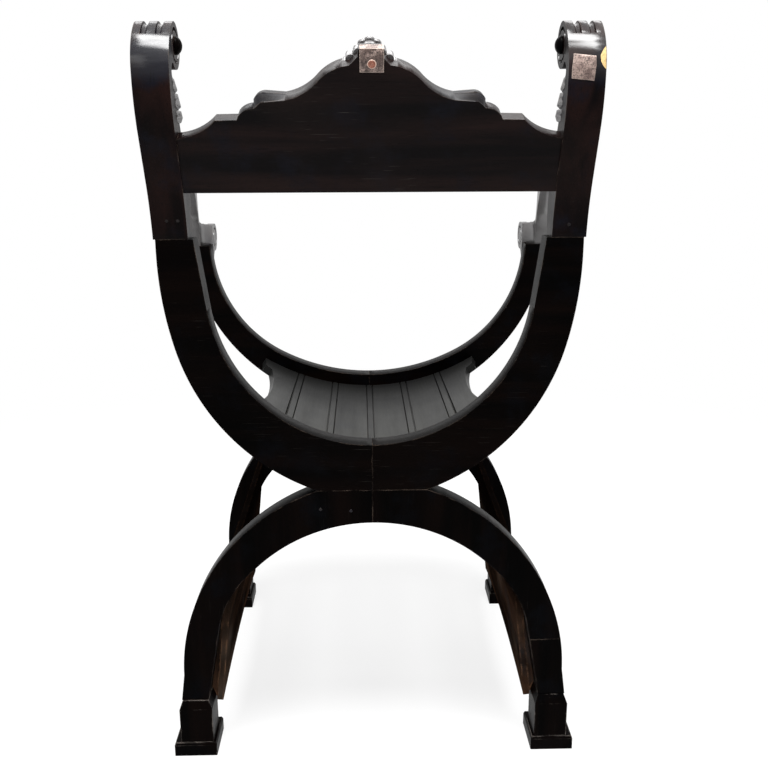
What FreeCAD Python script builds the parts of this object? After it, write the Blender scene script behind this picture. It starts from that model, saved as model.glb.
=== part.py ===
import FreeCAD, Part
import math
import os
import Sketcher

# A fixed armchair. A rear and a front frame, each a U-shaped bow standing on an arch, carry a
# dished slatted seat; two scrolled posts and a shaped crest rail rise from the rear bow, and
# two arms run from the posts to scrolls on the front bow.
# Millimetres, +Z up, the front of the chair towards -Y, the sitter's left towards +X.
# The pieces are drawn with the rear face of the rear frame at y = 0 and the floor at z = 0.
# At the end all of them are moved alike, so that the middle of the footprint is the origin.

doc = FreeCAD.newDocument("armchair")
sheet = doc.addObject("Spreadsheet::Sheet", "sizes")

# alias, value, what it is
rows = [
    ("frame_spacing", 443, "rear face of the rear frame to rear face of the front frame"),
    ("frame_thick", 32, "thickness of arches and bows, front to rear"),
    ("hub_height", 383, "height of the flat joint between arch and bow"),
    ("hub_half", 71, "half width of that joint"),
    ("arch_outer_radius", 279, "outer curve of an arch"),
    ("arch_outer_offset", 21.5, "how far its centre lies beyond the middle"),
    ("crown_thick", 45, "wood of an arch at the middle"),
    ("arch_inner_radius", 222, "inner curve of an arch at its crown"),
    ("haunch_reach", 153.4, "from the middle to where the inner curve tightens"),
    ("haunch_radius", 160, "tighter inner curve below the haunch"),
    ("shoulder_reach", 207, "from the middle to the lower end of that curve"),
    ("shoulder_height", 191, "height of its lower end"),
    ("leg_inner", 226, "from the middle to the inner side of a leg at its foot"),
    ("leg_outer", 262.5, "from the middle to the outer side of a leg at its foot"),
    ("splice_height", 165, "height of the joint in the repaired leg"),
    ("plinth_height", 20, "plinth under a foot"),
    ("plinth_bevel", 4, "height of its bevelled top"),
    ("plinth_width", 58, "plinth, across the chair"),
    ("plinth_depth", 63, "plinth, front to rear"),
    ("plinth_reach", 246, "from the middle to the plinth's middle"),
    ("plinth_shift", 7.5, "how far a plinth's middle lies inside its frame's middle"),
    ("block_height", 50, "straight part of a foot block"),
    ("cap_height", 12, "bevelled cap of a foot block"),
    ("cap_slope", 21, "slope of the bevels from upright, degrees"),
    ("block_width", 44.5, "foot block, across the chair"),
    ("block_depth", 46, "foot block, front to rear"),
    ("block_reach", 243.5, "from the middle to the block's middle"),
    ("block_shift", 1, "how far a block's middle lies inside its frame's middle"),
    ("rear_bow_radius", 280, "outer curve of the rear bow at the bottom"),
    ("rear_bow_offset", 26.6, "how far its centre lies beyond the middle"),
    ("rear_bow_side_radius", 450, "outer curve of the rear bow at the sides"),
    ("rear_bow_side_rise", 45, "from the bottom curve's centre up to where the sides stand upright"),
    ("bow_straight", 16, "upright run above that, up to the joint with the post"),
    ("rear_floor_thick", 61, "wood of the rear bow at the middle"),
    ("rear_wall_thick", 45.5, "wood of the rear bow at the joint with the post"),
    ("rear_bow_splay", 8, "how far the inner sides lean out, degrees"),
    ("front_bow_radius", 305, "outer curve of the front bow"),
    ("front_floor_thick", 47, "wood of the front bow at the middle"),
    ("front_inner_turn", 27.5, "where the front bow's inner curve tightens, degrees"),
    ("arm_rest_drop", 52, "front bow's ends, where the arms rest, below the posts' joint"),
    ("post_proud", 2.5, "how far a post stands outside the rear bow"),
    ("post_width", 42, "post, across the chair"),
    ("roll_back", 13, "how far the post scroll's centre lies behind the frame"),
    ("roll_rise", 219, "height of the post scroll's centre above the joint"),
    ("roll_radius", 26, "radius of the post scroll"),
    ("roll_turn", 60, "where the scroll leaves the post's back, degrees above level"),
    ("roll_end", 310, "where the scroll ends on its underside, degrees, same count"),
    ("back_radius", 60.6, "post's back below the scroll"),
    ("back_hollow_radius", 164, "post's back above the straight run"),
    ("back_flare_radius", 268, "post's back below the straight run"),
    ("neck_thick", 16, "post under the scroll, front to rear"),
    ("neck_drop", 5, "how far the neck lies below the fullest point of the back"),
    ("notch_radius", 10, "hollow between scroll and neck"),
    ("breast_radius", 71, "swelling of the post's front below the neck"),
    ("face_top_back", 14, "upper end of the post's flat front, behind the frame"),
    ("face_top_drop", 46, "how far that end lies below the neck"),
    ("face_foot_ahead", 21, "lower end of the flat front, ahead of the rear plane"),
    ("face_foot_rise", 73, "height of that end above the joint"),
    ("post_foot_radius", 110, "front of the post at its foot"),
    ("flute_width", 7.5, "width of a flute over a scroll"),
    ("flute_offset", 8.25, "from a scroll's middle to a flute"),
    ("ring_inset", 6, "from a scroll's rim to the ring cut in its side"),
    ("ring_width", 4, "width of that ring"),
    ("ring_depth", 2, "depth of that ring"),
    ("boss_radius", 10, "turned eye boss"),
    ("boss_rim", 2.5, "straight rim of a boss"),
    ("boss_height", 8, "boss, out of the scroll's side"),
    ("crest_lean", 21.8, "lean of the crest rail, degrees"),
    ("crest_foot_back", 12, "crest rail's lower rear edge, behind the frame"),
    ("crest_foot_rise", 55, "height of that edge above the joint of the posts"),
    ("crest_height", 166, "crest rail along its lean, at the middle"),
    ("crest_thick", 21, "thickness of the crest rail"),
    ("border_rise", 10, "raised scroll border on the crest's front"),
    ("tenon_length", 14, "crest tenon in a post"),
    ("tenon_low", 15, "lower edge of the tenon, along the lean"),
    ("tenon_high", 50, "upper edge of the tenon"),
    ("tenon_inset", 6, "from the crest's faces to the tenon"),
    ("shell_half", 29, "half width of the carved fan on the crest"),
    ("shell_height", 27, "height of the fan, without the rim of its lobes"),
    ("shell_drop", 24.5, "fan's foot below the crest's top, along the lean"),
    ("shell_thick", 18, "thickness of the fan"),
    ("arm_width", 46, "width of an arm at its scroll"),
    ("arm_waist", 30, "width of an arm behind the scroll"),
    ("arm_offset", 3, "how far the scroll's middle stands outside the bow end's middle"),
    ("arm_flare_radius", 40, "hollow between waist and scroll, seen from above"),
    ("arm_inset", 1, "arm's rear end from the post's sides"),
    ("arm_roll_radius", 23, "radius of an arm's scroll"),
    ("arm_roll_rise", 10, "height of the scroll's centre above the bow's end"),
    ("arm_roll_start", 80, "where the arm's top meets the scroll, degrees above the rear"),
    ("arm_roll_end", 285, "where the scroll ends underneath, degrees, same count"),
    ("arm_tail", 26, "how far the arm's tail hangs down ahead of the bow"),
    ("arm_tail_tip", 3, "thickness of the tail's tip"),
    ("arm_tail_radius", 30, "hollow of the tail"),
    ("board_top", 275, "height of a side board's upper edge"),
    ("board_foot", 60, "height of its lower corners"),
    ("board_reach", 211.6, "from the middle to its inner face at the lower edge"),
    ("board_lean", 6, "lean of a side board, top inwards, degrees"),
    ("board_thick", 9, "thickness of a side board"),
    ("board_arch", 1016, "radius of its lower edge"),
    ("seat_thick", 12, "thickness of the seat"),
    ("seat_rear_drop", 30, "seat below the rear bow's inner curve"),
    ("seat_front_drop", 19, "seat below the front bow's inner curve at the middle"),
    ("seat_front_radius", 340, "curve of the seat at the front bow"),
    ("seat_pitch", 58.5, "spacing of the narrow slats"),
    ("strip_width", 12, "width of a narrow slat"),
    ("seat_reach", 150, "from the middle to the seat's hollow edge, halfway along"),
    ("ear_width", 26, "how far the seat's front ears stand outside that edge, on its slope"),
    ("seat_edge_lean", 33, "lean of the seat's edges, square to its slope, degrees"),
    ("bearer_depth", 18, "bearer under the seat, front to rear"),
    ("bearer_height", 18, "bearer, along its radius"),
    ("bearer_reach", 140, "from the middle to a bearer's end"),
    ("bearer_gap", 1.4, "room between bearer and seat"),
    ("plate_size", 26.5, "side of a copper plate"),
    ("plate_thick", 0.8, "thickness of a copper plate"),
    ("plate_drop", 25, "lower edge of the crest's plate below the crest's top"),
    ("plate_offset", 2, "that plate's middle off the crest's middle, to the sitter's right"),
    ("plate_fold", 14, "part of that plate folded over the top edge"),
    ("rivet_radius", 5, "rivet in the crest's plate"),
    ("rivet_rise", 1.6, "rivet head out of the plate"),
    ("rivet_drop", 16, "rivet below the crest's top, along the lean"),
    ("post_plate_inset", 4, "post's plate, off the post's middle towards the middle of the chair"),
    ("post_plate_rise", 2.5, "height of its middle above the fullest point of the post's back"),
    ("post_plate_tilt", 5.5, "tilt of that plate, degrees"),
    ("dowel_radius", 6, "stout dowels in hubs and feet"),
    ("pin_radius", 5, "thinner dowels in the other joints"),
    ("dowel_length", 46, "length of a dowel hole, both pieces together"),
    ("hub_dowel_reach", 40, "from the middle to a hub dowel"),
    ("fit", 0.3, "play around dowels, tenons and curved plates"),
    ("overrun", 40, "how far cutting shapes run past the wood"),
]

for number, (alias, amount, meaning) in enumerate(rows, 1):
    sheet.set("A" + str(number), alias)
    sheet.set("B" + str(number), str(amount))
    sheet.set("C" + str(number), meaning)
    sheet.setAlias("B" + str(number), alias)
doc.recompute()


# A number that knows the sheet expression it comes from, so that a sketch drawn with it can
# be bound to the sheet.
class Dim:
    def __init__(self, value, text):
        self.value = value
        self.text = text

    def __add__(self, other):
        other = as_dim(other)
        return Dim(self.value + other.value, "(" + self.text + " + " + other.text + ")")

    def __sub__(self, other):
        other = as_dim(other)
        return Dim(self.value - other.value, "(" + self.text + " - " + other.text + ")")

    def __mul__(self, other):
        other = as_dim(other)
        return Dim(self.value * other.value, "(" + self.text + " * " + other.text + ")")

    def __truediv__(self, other):
        other = as_dim(other)
        return Dim(self.value / other.value, "(" + self.text + " / " + other.text + ")")

    def __neg__(self):
        return Dim(-self.value, "(0 - " + self.text + ")")

    def __rsub__(self, other):
        return as_dim(other) - self

    __radd__ = __add__
    __rmul__ = __mul__


def as_dim(thing):
    if isinstance(thing, Dim):
        return thing
    return Dim(float(thing), "(" + str(thing) + ")")


def size(alias):
    return Dim(float(sheet.get(alias)), "sizes." + alias)


def root(dim):
    return Dim(math.sqrt(dim.value), "sqrt(" + dim.text + ")")


def cosine(degrees):
    degrees = as_dim(degrees)
    return Dim(math.cos(math.radians(degrees.value)), "cos(" + degrees.text + ")")


def sine(degrees):
    degrees = as_dim(degrees)
    return Dim(math.sin(math.radians(degrees.value)), "sin(" + degrees.text + ")")


def leg_of(long_side, short_side):
    return root(long_side * long_side - short_side * short_side)


pieces = []


def piece(name):
    body = doc.addObject("PartDesign::Body", name)
    body.Label = name
    pieces.append(body)
    return body


# Local axes of the planes: XY is x, y; XZ is x, z and looks to the rear, so that its third
# axis points to the front; YZ is y, z with its third axis to the sitter's left.
# origin moves the drawing along the plane's own axes. turn is an axis and an angle.
def drawing(body, name, plane, origin=(0, 0, 0), turn=None):
    sketch = body.newObject("Sketcher::SketchObject", body.Name + "_" + name)
    base = [f for f in body.Origin.OriginFeatures if f.Role == plane + "_Plane"][0]
    sketch.AttachmentSupport = (base, "")
    sketch.MapMode = "FlatFace"
    origin = [as_dim(part) for part in origin]
    rotation = FreeCAD.Rotation()
    if turn:
        axis, angle = turn
        rotation = FreeCAD.Rotation(FreeCAD.Vector(*axis), angle.value)
    place = FreeCAD.Vector(*[part.value for part in origin])
    sketch.AttachmentOffset = FreeCAD.Placement(place, rotation)
    for letter, part in zip("xyz", origin):
        if "sizes." in part.text:
            sketch.setExpression("AttachmentOffset.Base." + letter, part.text)
    if turn and "sizes." in angle.text and angle.value > 0:
        sketch.setExpression("AttachmentOffset.Rotation.Angle", angle.text)
    return sketch


def pin(rules, links, shape, point, across, up):
    for kind, part, axis in (("DistanceX", across, -2), ("DistanceY", up, -1)):
        part = as_dim(part)
        if part.value == 0 and "sizes." not in part.text:
            rules.append(Sketcher.Constraint("PointOnObject", shape, point, axis))
            continue
        rules.append(Sketcher.Constraint(kind, shape, point, part.value))
        if "sizes." in part.text:
            links.append((len(rules) - 1, part.text))


# Draws a closed outline. A corner is (across, up), or (across, up, bend) where an arc leads to
# the next corner: bend is its radius, positive where the outline turns left. A fourth entry
# True takes the longer arc. side -1 draws the mirror image.
def outline(sketch, corners, side=1):
    corners = [tuple(corner) + (0, False)[len(corner) - 2:] for corner in corners]
    first = sketch.GeometryCount
    shapes = []
    rules = []
    links = []
    ends = []
    for number, (across, up, bend, longer) in enumerate(corners):
        after = corners[(number + 1) % len(corners)]
        across = as_dim(across) * side if side < 0 else as_dim(across)
        next_across = as_dim(after[0]).value * side
        here = FreeCAD.Vector(across.value, as_dim(up).value, 0)
        there = FreeCAD.Vector(next_across, as_dim(after[1]).value, 0)
        shape = first + number
        bend = as_dim(bend)
        if bend.value == 0:
            shapes.append(Part.LineSegment(here, there))
            ends.append((1, 2))
        else:
            left = bend.value * side > 0
            radius = abs(bend.value)
            chord = there - here
            half = chord.Length / 2
            height = math.sqrt(max(radius * radius - half * half, 0))
            normal = FreeCAD.Vector(-chord.y, chord.x, 0).normalize()
            toward = 1 if left != longer else -1
            centre = (here + there) / 2 + normal * height * toward
            begin, finish = (here, there) if left else (there, here)
            angles = [math.atan2(p.y - centre.y, p.x - centre.x) for p in (begin, finish)]
            circle = Part.Circle(centre, FreeCAD.Vector(0, 0, 1), radius)
            shapes.append(Part.ArcOfCircle(circle, angles[0], angles[1]))
            ends.append((1, 2) if left else (2, 1))
            rules.append(Sketcher.Constraint("Radius", shape, radius))
            if "sizes." in bend.text:
                links.append((len(rules) - 1, "abs(" + bend.text + ")"))
        pin(rules, links, shape, ends[-1][0], across, up)
    for number, (start, end) in enumerate(ends):
        following = (number + 1) % len(ends)
        rules.append(Sketcher.Constraint(
            "Coincident", first + number, end, first + following, ends[following][0]))
    apply_rules(sketch, shapes, rules, links)


def circle(sketch, across, up, radius):
    across, up, radius = as_dim(across), as_dim(up), as_dim(radius)
    shape = sketch.GeometryCount
    middle = FreeCAD.Vector(across.value, up.value, 0)
    rules = [Sketcher.Constraint("Radius", shape, radius.value)]
    links = [(0, radius.text)]
    pin(rules, links, shape, 3, across, up)
    ring = Part.Circle(middle, FreeCAD.Vector(0, 0, 1), radius.value)
    apply_rules(sketch, [ring], rules, links)


def apply_rules(sketch, shapes, rules, links):
    earlier = sketch.ConstraintCount
    sketch.addGeometry(shapes, False)
    sketch.addConstraint(rules)
    for number, text in links:
        sketch.setExpression("Constraints[" + str(earlier + number) + "]", text)


def feature(body, kind, sketch, length, both_ways=False, backwards=False):
    made = body.newObject("PartDesign::" + kind, sketch.Name + "_" + kind.lower())
    made.Profile = sketch
    made.Length = length.value
    made.setExpression("Length", length.text)
    if both_ways:
        made.SideType = "Symmetric"
    made.Reversed = backwards
    sketch.Visibility = False
    body.Tip = made
    return made


def turned(body, kind, sketch, angle=None):
    made = body.newObject("PartDesign::" + kind, sketch.Name + "_" + kind.lower())
    made.Profile = sketch
    made.ReferenceAxis = (sketch, ["H_Axis"])
    if angle is None:
        made.Angle = 360
    else:
        made.Midplane = True
        made.Angle = angle.value
        made.setExpression("Angle", angle.text)
    sketch.Visibility = False
    body.Tip = made
    return made


frame_spacing = size("frame_spacing")
frame_thick = size("frame_thick")
hub_height = size("hub_height")
hub_half = size("hub_half")
overrun = size("overrun")
fit = size("fit")
sides = (("left", 1), ("right", -1))
frames = (("rear", 0), ("front", 1))


# Middle of a frame, and the offset of its rear face on an XZ plane.
def frame_offset(front):
    return frame_spacing if front else as_dim(0)


def frame_middle(front):
    return -(frame_offset(front) + frame_thick * 0.5)


# Round holes, or the dowels that fill them, standing half on each side of a plane.
def rods(body, name, kind, plane, offset, centres, radius, length):
    sketch = drawing(body, name, plane, (0, 0, offset))
    for across, up in centres:
        circle(sketch, across, up, radius)
    feature(body, kind, sketch, length, both_ways=True)


dowel_radius = size("dowel_radius")
pin_radius = size("pin_radius")
dowel_length = size("dowel_length")


def holes(body, name, plane, offset, centres, radius):
    rods(body, name, "Pocket", plane, offset, centres, radius, dowel_length)


def dowels(body, name, plane, offset, centres, radius):
    rods(body, name, "Pad", plane, offset, centres, radius - fit, dowel_length - fit * 2)


# Arches

arch_outer_radius = size("arch_outer_radius")
arch_offset = size("arch_outer_offset")
arch_edge = arch_outer_radius - arch_offset
arch_inner_radius = size("arch_inner_radius")
arch_crown = hub_height - size("crown_thick")
haunch_reach = size("haunch_reach")
haunch_radius = size("haunch_radius")
shoulder_reach = size("shoulder_reach")
shoulder_height = size("shoulder_height")
leg_inner = size("leg_inner")
leg_outer = size("leg_outer")
splice_height = size("splice_height")
foot_top = size("plinth_height") + size("block_height") + size("cap_height")
arch_centre = hub_height - leg_of(arch_outer_radius, hub_half + arch_offset)
haunch_height = arch_crown - arch_inner_radius + leg_of(arch_inner_radius, haunch_reach)
hub_dowel_reach = size("hub_dowel_reach")
block_reach = size("block_reach")

leg_slope = (leg_inner - shoulder_reach) / (shoulder_height - foot_top)
splice_inner = leg_inner - leg_slope * (splice_height - foot_top)
splice_outer = leg_of(arch_outer_radius, splice_height - arch_centre) - arch_offset
splice_middle = (splice_inner + splice_outer) * 0.5
seam_height = (arch_crown + hub_height) * 0.5


def arch(name, side, front, spliced):
    body = piece(name)
    sketch = drawing(body, "outline", "XZ", (0, 0, frame_offset(front)))
    top = [
        (hub_half, hub_height),
        (0, hub_height),
        (0, arch_crown, -arch_inner_radius),
        (haunch_reach, haunch_height, -haunch_radius),
        (shoulder_reach, shoulder_height),
    ]
    if spliced:
        leg = [
            (splice_inner, splice_height),
            (splice_outer, splice_height, arch_outer_radius),
        ]
    else:
        leg = [
            (leg_inner, foot_top),
            (leg_outer, foot_top),
            (arch_edge, arch_centre, arch_outer_radius),
        ]
    outline(sketch, top + leg, side)
    feature(body, "Pad", sketch, frame_thick)
    middle = frame_middle(front)
    holes(body, "hub", "XY", hub_height, [(hub_dowel_reach * side, middle)], dowel_radius)
    holes(body, "seam", "YZ", 0, [(middle, seam_height)], pin_radius)
    if spliced:
        holes(body, "splice", "XY", splice_height, [(splice_middle * side, middle)], pin_radius)
    else:
        holes(body, "foot", "XY", foot_top, [(block_reach * side, middle)], dowel_radius)
    return body


for frame, front in frames:
    for hand, side in sides:
        arch(frame + "_arch_" + hand, side, front, frame == "rear" and hand == "right")

body = piece("rear_leg_splice_right")
sketch = drawing(body, "outline", "XZ")
outline(sketch, [
    (splice_inner, splice_height),
    (leg_inner, foot_top),
    (leg_outer, foot_top),
    (arch_edge, arch_centre, arch_outer_radius),
    (splice_outer, splice_height),
], -1)
feature(body, "Pad", sketch, frame_thick)
holes(body, "splice", "XY", splice_height, [(-splice_middle, frame_middle(0))], pin_radius)
holes(body, "foot", "XY", foot_top, [(-block_reach, frame_middle(0))], dowel_radius)

# Feet: a block with a bevelled cap on a plinth with a bevelled edge


def rectangle(sketch, across, up, width, depth):
    outline(sketch, [
        (across - width * 0.5, up - depth * 0.5),
        (across + width * 0.5, up - depth * 0.5),
        (across + width * 0.5, up + depth * 0.5),
        (across - width * 0.5, up + depth * 0.5),
    ])


cap_slope = size("cap_slope")


def bevelled_block(name, across, up, width, depth, foot, height, bevel):
    body = piece(name)
    sketch = drawing(body, "outline", "XY", (0, 0, foot))
    rectangle(sketch, across, up, width, depth)
    feature(body, "Pad", sketch, height)
    sketch = drawing(body, "bevel", "XY", (0, 0, foot + height))
    rectangle(sketch, across, up, width, depth)
    cap = feature(body, "Pad", sketch, bevel)
    cap.TaperAngle = -cap_slope.value
    cap.setExpression("TaperAngle", "0 - " + cap_slope.text)
    return body


plinth_height = size("plinth_height")
plinth_bevel = size("plinth_bevel")
plinth_rim = plinth_height - plinth_bevel
for frame, front in frames:
    inward = 1 if front else -1
    for hand, side in sides:
        middle = frame_middle(front)
        bevelled_block(
            frame + "_plinth_" + hand, size("plinth_reach") * side,
            middle + size("plinth_shift") * inward, size("plinth_width"),
            size("plinth_depth"), as_dim(0), plinth_rim, plinth_bevel)
        body = bevelled_block(
            frame + "_foot_" + hand, block_reach * side,
            middle + size("block_shift") * inward, size("block_width"),
            size("block_depth"), plinth_height, size("block_height"), size("cap_height"))
        holes(body, "leg", "XY", foot_top, [(block_reach * side, middle)], dowel_radius)

# Bows

rear_bow_radius = size("rear_bow_radius")
rear_bow_offset = size("rear_bow_offset")
side_radius = size("rear_bow_side_radius")
side_rise = size("rear_bow_side_rise")
rear_bow_splay = size("rear_bow_splay")
rear_bow_centre = hub_height + leg_of(rear_bow_radius, hub_half + rear_bow_offset)
side_height = rear_bow_centre + side_rise
joint_height = side_height + size("bow_straight")
# the side arcs touch the bottom arc, so their centres lie on one line with its centre
centre_gap = side_radius - rear_bow_radius
centre_shift = leg_of(centre_gap, side_rise)
touch_share = rear_bow_radius / centre_gap
rear_bow_edge = side_radius - centre_shift - rear_bow_offset
rear_bow_floor = hub_height + size("rear_floor_thick")
rear_bow_mouth = rear_bow_edge - size("rear_wall_thick")
# the inner curve stands on the floor and touches the splayed sides that end at the mouth
splay_tangent = sine(rear_bow_splay) / cosine(rear_bow_splay)
mouth_rise = joint_height - rear_bow_floor
rear_inner_radius = (rear_bow_mouth - mouth_rise * splay_tangent) / (
    as_dim(1) / cosine(rear_bow_splay) - splay_tangent)
rear_inner_centre = rear_bow_floor + rear_inner_radius

front_bow_radius = size("front_bow_radius")
front_bow_centre = hub_height + leg_of(front_bow_radius, hub_half)
front_bow_floor = hub_height + size("front_floor_thick")
arm_rest_height = joint_height - size("arm_rest_drop")
# inner curve of the front bow: radii at the bottom and at the sides over the outer radius
front_floor_share = 1.066
front_side_share = 0.705
front_turn = size("front_inner_turn")
front_floor_radius = front_bow_radius * front_floor_share
front_side_radius = front_bow_radius * front_side_share
front_touch = front_floor_radius * sine(front_turn)
front_touch_height = front_bow_floor + front_floor_radius * (1 - cosine(front_turn))
front_side_middle = front_touch - front_side_radius * sine(front_turn)
front_side_centre = front_touch_height + front_side_radius * cosine(front_turn)
rest_inner = front_side_middle + leg_of(front_side_radius, arm_rest_height - front_side_centre)
rest_outer = leg_of(front_bow_radius, front_bow_centre - arm_rest_height)
rest_middle = (rest_inner + rest_outer) * 0.5
post_width = size("post_width")
post_inner = rear_bow_edge + size("post_proud") - post_width
post_dowel_share = 0.45
post_dowel_reach = post_inner + post_width * post_dowel_share
bow_seam_height = (hub_height + front_bow_floor) * 0.5

rear_bow_corners = [
    (0, hub_height),
    (hub_half, hub_height, rear_bow_radius),
    (centre_shift * touch_share - rear_bow_offset,
     rear_bow_centre - side_rise * touch_share, side_radius),
    (rear_bow_edge, side_height),
    (rear_bow_edge, joint_height),
    (rear_bow_mouth, joint_height),
    (rear_inner_radius * cosine(rear_bow_splay),
     rear_inner_centre - rear_inner_radius * sine(rear_bow_splay), -rear_inner_radius),
    (0, rear_bow_floor),
]
front_bow_corners = [
    (0, hub_height),
    (hub_half, hub_height, front_bow_radius),
    (rest_outer, arm_rest_height),
    (rest_inner, arm_rest_height, -front_side_radius),
    (front_touch, front_touch_height, -front_floor_radius),
    (0, front_bow_floor),
]

for frame, front in frames:
    for hand, side in sides:
        body = piece(frame + "_bow_" + hand)
        sketch = drawing(body, "outline", "XZ", (0, 0, frame_offset(front)))
        outline(sketch, front_bow_corners if front else rear_bow_corners, side)
        feature(body, "Pad", sketch, frame_thick)
        middle = frame_middle(front)
        holes(body, "hub", "XY", hub_height, [(hub_dowel_reach * side, middle)], dowel_radius)
        holes(body, "seam", "YZ", 0, [(middle, bow_seam_height)], pin_radius)
        end_height = arm_rest_height if front else joint_height
        end_reach = rest_middle if front else post_dowel_reach
        holes(body, "end", "XY", end_height, [(end_reach * side, middle)], pin_radius)

# Crest rail, drawn on its leaning rear face. A point of it is given by how far it lies along
# the lean and how far ahead of the rear face.

crest_lean = size("crest_lean")
crest_foot_back = size("crest_foot_back")
crest_foot_height = joint_height + size("crest_foot_rise")
crest_height = size("crest_height")
crest_thick = size("crest_thick")


def crest_point(along, ahead):
    back = crest_foot_back + along * sine(crest_lean) - ahead * cosine(crest_lean)
    height = crest_foot_height + along * cosine(crest_lean) + ahead * sine(crest_lean)
    return back, height


def crest_drawing(body, name, ahead):
    back, height = crest_point(as_dim(0), as_dim(ahead))
    return drawing(body, name, "XZ", (0, height, -back), ((-1, 0, 0), crest_lean))


# From the post to the middle: reach over half the span, height over the height at the middle,
# radius to the next point over that height.
crest_outline_shares = (
    (1.000, 0.000, 0),
    (1.000, 0.398, -0.410),
    (0.795, 0.527, 0),
    (0.682, 0.530, 0),
    (0.673, 0.557, 0.132),
    (0.591, 0.608, 0),
    (0.564, 0.639, 0.050),
    (0.536, 0.652, 0),
    (0.432, 0.663, -0.386),
    (0.259, 0.795, 0.360),
    (0.139, 0.887, 0),
    (0.103, 0.895, 0),
    (0.062, 0.950, 0),
    (0.058, 1.000, 0),
)


def crest_corners(shares):
    return [
        (post_inner * reach, crest_height * height, crest_height * bend if bend else 0)
        for reach, height, bend in shares
    ]


half = crest_corners(crest_outline_shares)
bends = [0] + [corner[2] for corner in half[:-1]]
mirrored = [(-corner[0], corner[1], bend) for corner, bend in zip(half, bends)]
crest = piece("crest_rail")
sketch = crest_drawing(crest, "outline", 0)
outline(sketch, half + mirrored[::-1])
feature(crest, "Pad", sketch, crest_thick)

tenon_length = size("tenon_length")
tenon_low = size("tenon_low")
tenon_high = size("tenon_high")
tenon_inset = size("tenon_inset")
sketch = crest_drawing(crest, "tenons", tenon_inset)
tenon_end = post_inner + tenon_length
outline(sketch, [
    (-tenon_end, tenon_low),
    (tenon_end, tenon_low),
    (tenon_end, tenon_high),
    (-tenon_end, tenon_high),
])
feature(crest, "Pad", sketch, crest_thick - tenon_inset * 2)

# A raised scroll border runs along the top edge on the front, from a volute that stands a
# little over the edge to beside the fan. Between these it takes the crest's own outline.
volute_shares = ((0.600, 0.606, 0.085), (0.536, 0.674, 0))
border_reach_shares = (0.12, 0.50)
border_under_shares = (
    (0.139, 0.795, 0),
    (0.165, 0.779, -0.260),
    (0.262, 0.690, 0.490),
    (0.430, 0.565, 0),
    (0.545, 0.540, 0.062),
)
border = crest_corners(volute_shares)
border += crest_corners([
    row for row in crest_outline_shares if border_reach_shares[0] < row[0] < border_reach_shares[1]
])
border += crest_corners(border_under_shares)
sketch = crest_drawing(crest, "border", crest_thick)
outline(sketch, border)
outline(sketch, border, -1)
feature(crest, "Pad", sketch, size("border_rise"))

# Carved fan on the front of the crest: lobes between these roots, counted from the tip of the
# foot to the middle. Across over the half width, up over the height.
shell_root_shares = ((1.00, 0.00), (0.93, 0.20), (0.62, 0.42), (0.30, 0.68))
lobe_bend_share = 0.53
shell_foot = crest_height - size("shell_drop")
roots = [
    (size("shell_half") * across, shell_foot + size("shell_height") * up)
    for across, up in shell_root_shares
]
roots += [(-across, up) for across, up in reversed(roots)]
fan = []
for here, after in zip(roots, roots[1:]):
    run = after[0] - here[0]
    climb = after[1] - here[1]
    fan.append(here + (root(run * run + climb * climb) * lobe_bend_share,))
fan.append(roots[-1])
body = piece("crest_shell")
sketch = crest_drawing(body, "outline", crest_thick)
outline(sketch, fan)
feature(body, "Pad", sketch, size("shell_thick"))

# Posts

roll_back = size("roll_back")
roll_height = joint_height + size("roll_rise")
roll_radius = size("roll_radius")
roll_turn = size("roll_turn")
roll_end = size("roll_end")
back_radius = size("back_radius")
hollow_radius = size("back_hollow_radius")
back_centre_y = roll_back - (back_radius - roll_radius) * cosine(roll_turn)
back_centre_z = roll_height - (back_radius - roll_radius) * sine(roll_turn)
post_rear = back_centre_y + back_radius
post_rise = back_centre_z - joint_height
neck_y = post_rear - size("neck_thick")
neck_z = back_centre_z - size("neck_drop")
face_top = (size("face_top_back"), neck_z - size("face_top_drop"))
face_foot = (-size("face_foot_ahead"), joint_height + size("face_foot_rise"))
# the post's back below its fullest point: reach over the full reach, height over the rise
post_back_shares = ((0.353, 0.371), (0.753, 0.645))
low, high = post_back_shares
post_corners = [
    (-frame_thick, joint_height),
    (0, joint_height, -size("back_flare_radius")),
    (post_rear * low[0], joint_height + post_rise * low[1]),
    (post_rear * high[0], joint_height + post_rise * high[1], hollow_radius),
    (post_rear, back_centre_z, back_radius),
    (roll_back + roll_radius * cosine(roll_turn),
     roll_height + roll_radius * sine(roll_turn), roll_radius, True),
    (roll_back + roll_radius * cosine(roll_end),
     roll_height + roll_radius * sine(roll_end), -size("notch_radius")),
    (neck_y, neck_z, size("breast_radius")),
    face_top,
    face_foot + (size("post_foot_radius"),),
]


# A pocket or pad that goes towards the sitter's left (side 1) or right (side -1).
def sideways(body, kind, sketch, length, side):
    wanted = side > 0
    pocket = kind == "Pocket"
    feature(body, kind, sketch, length, backwards=wanted if pocket else not wanted)


# Ring cut in both side faces of a scroll.
def ring_cuts(body, centre, radius, faces):
    rim = radius - size("ring_inset")
    for name, face, inward in faces:
        sketch = drawing(body, "ring_" + name, "YZ", (centre[0], centre[1], face))
        circle(sketch, 0, 0, rim)
        circle(sketch, 0, 0, rim - size("ring_width"))
        sideways(body, "Pocket", sketch, size("ring_depth"), inward)


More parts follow.
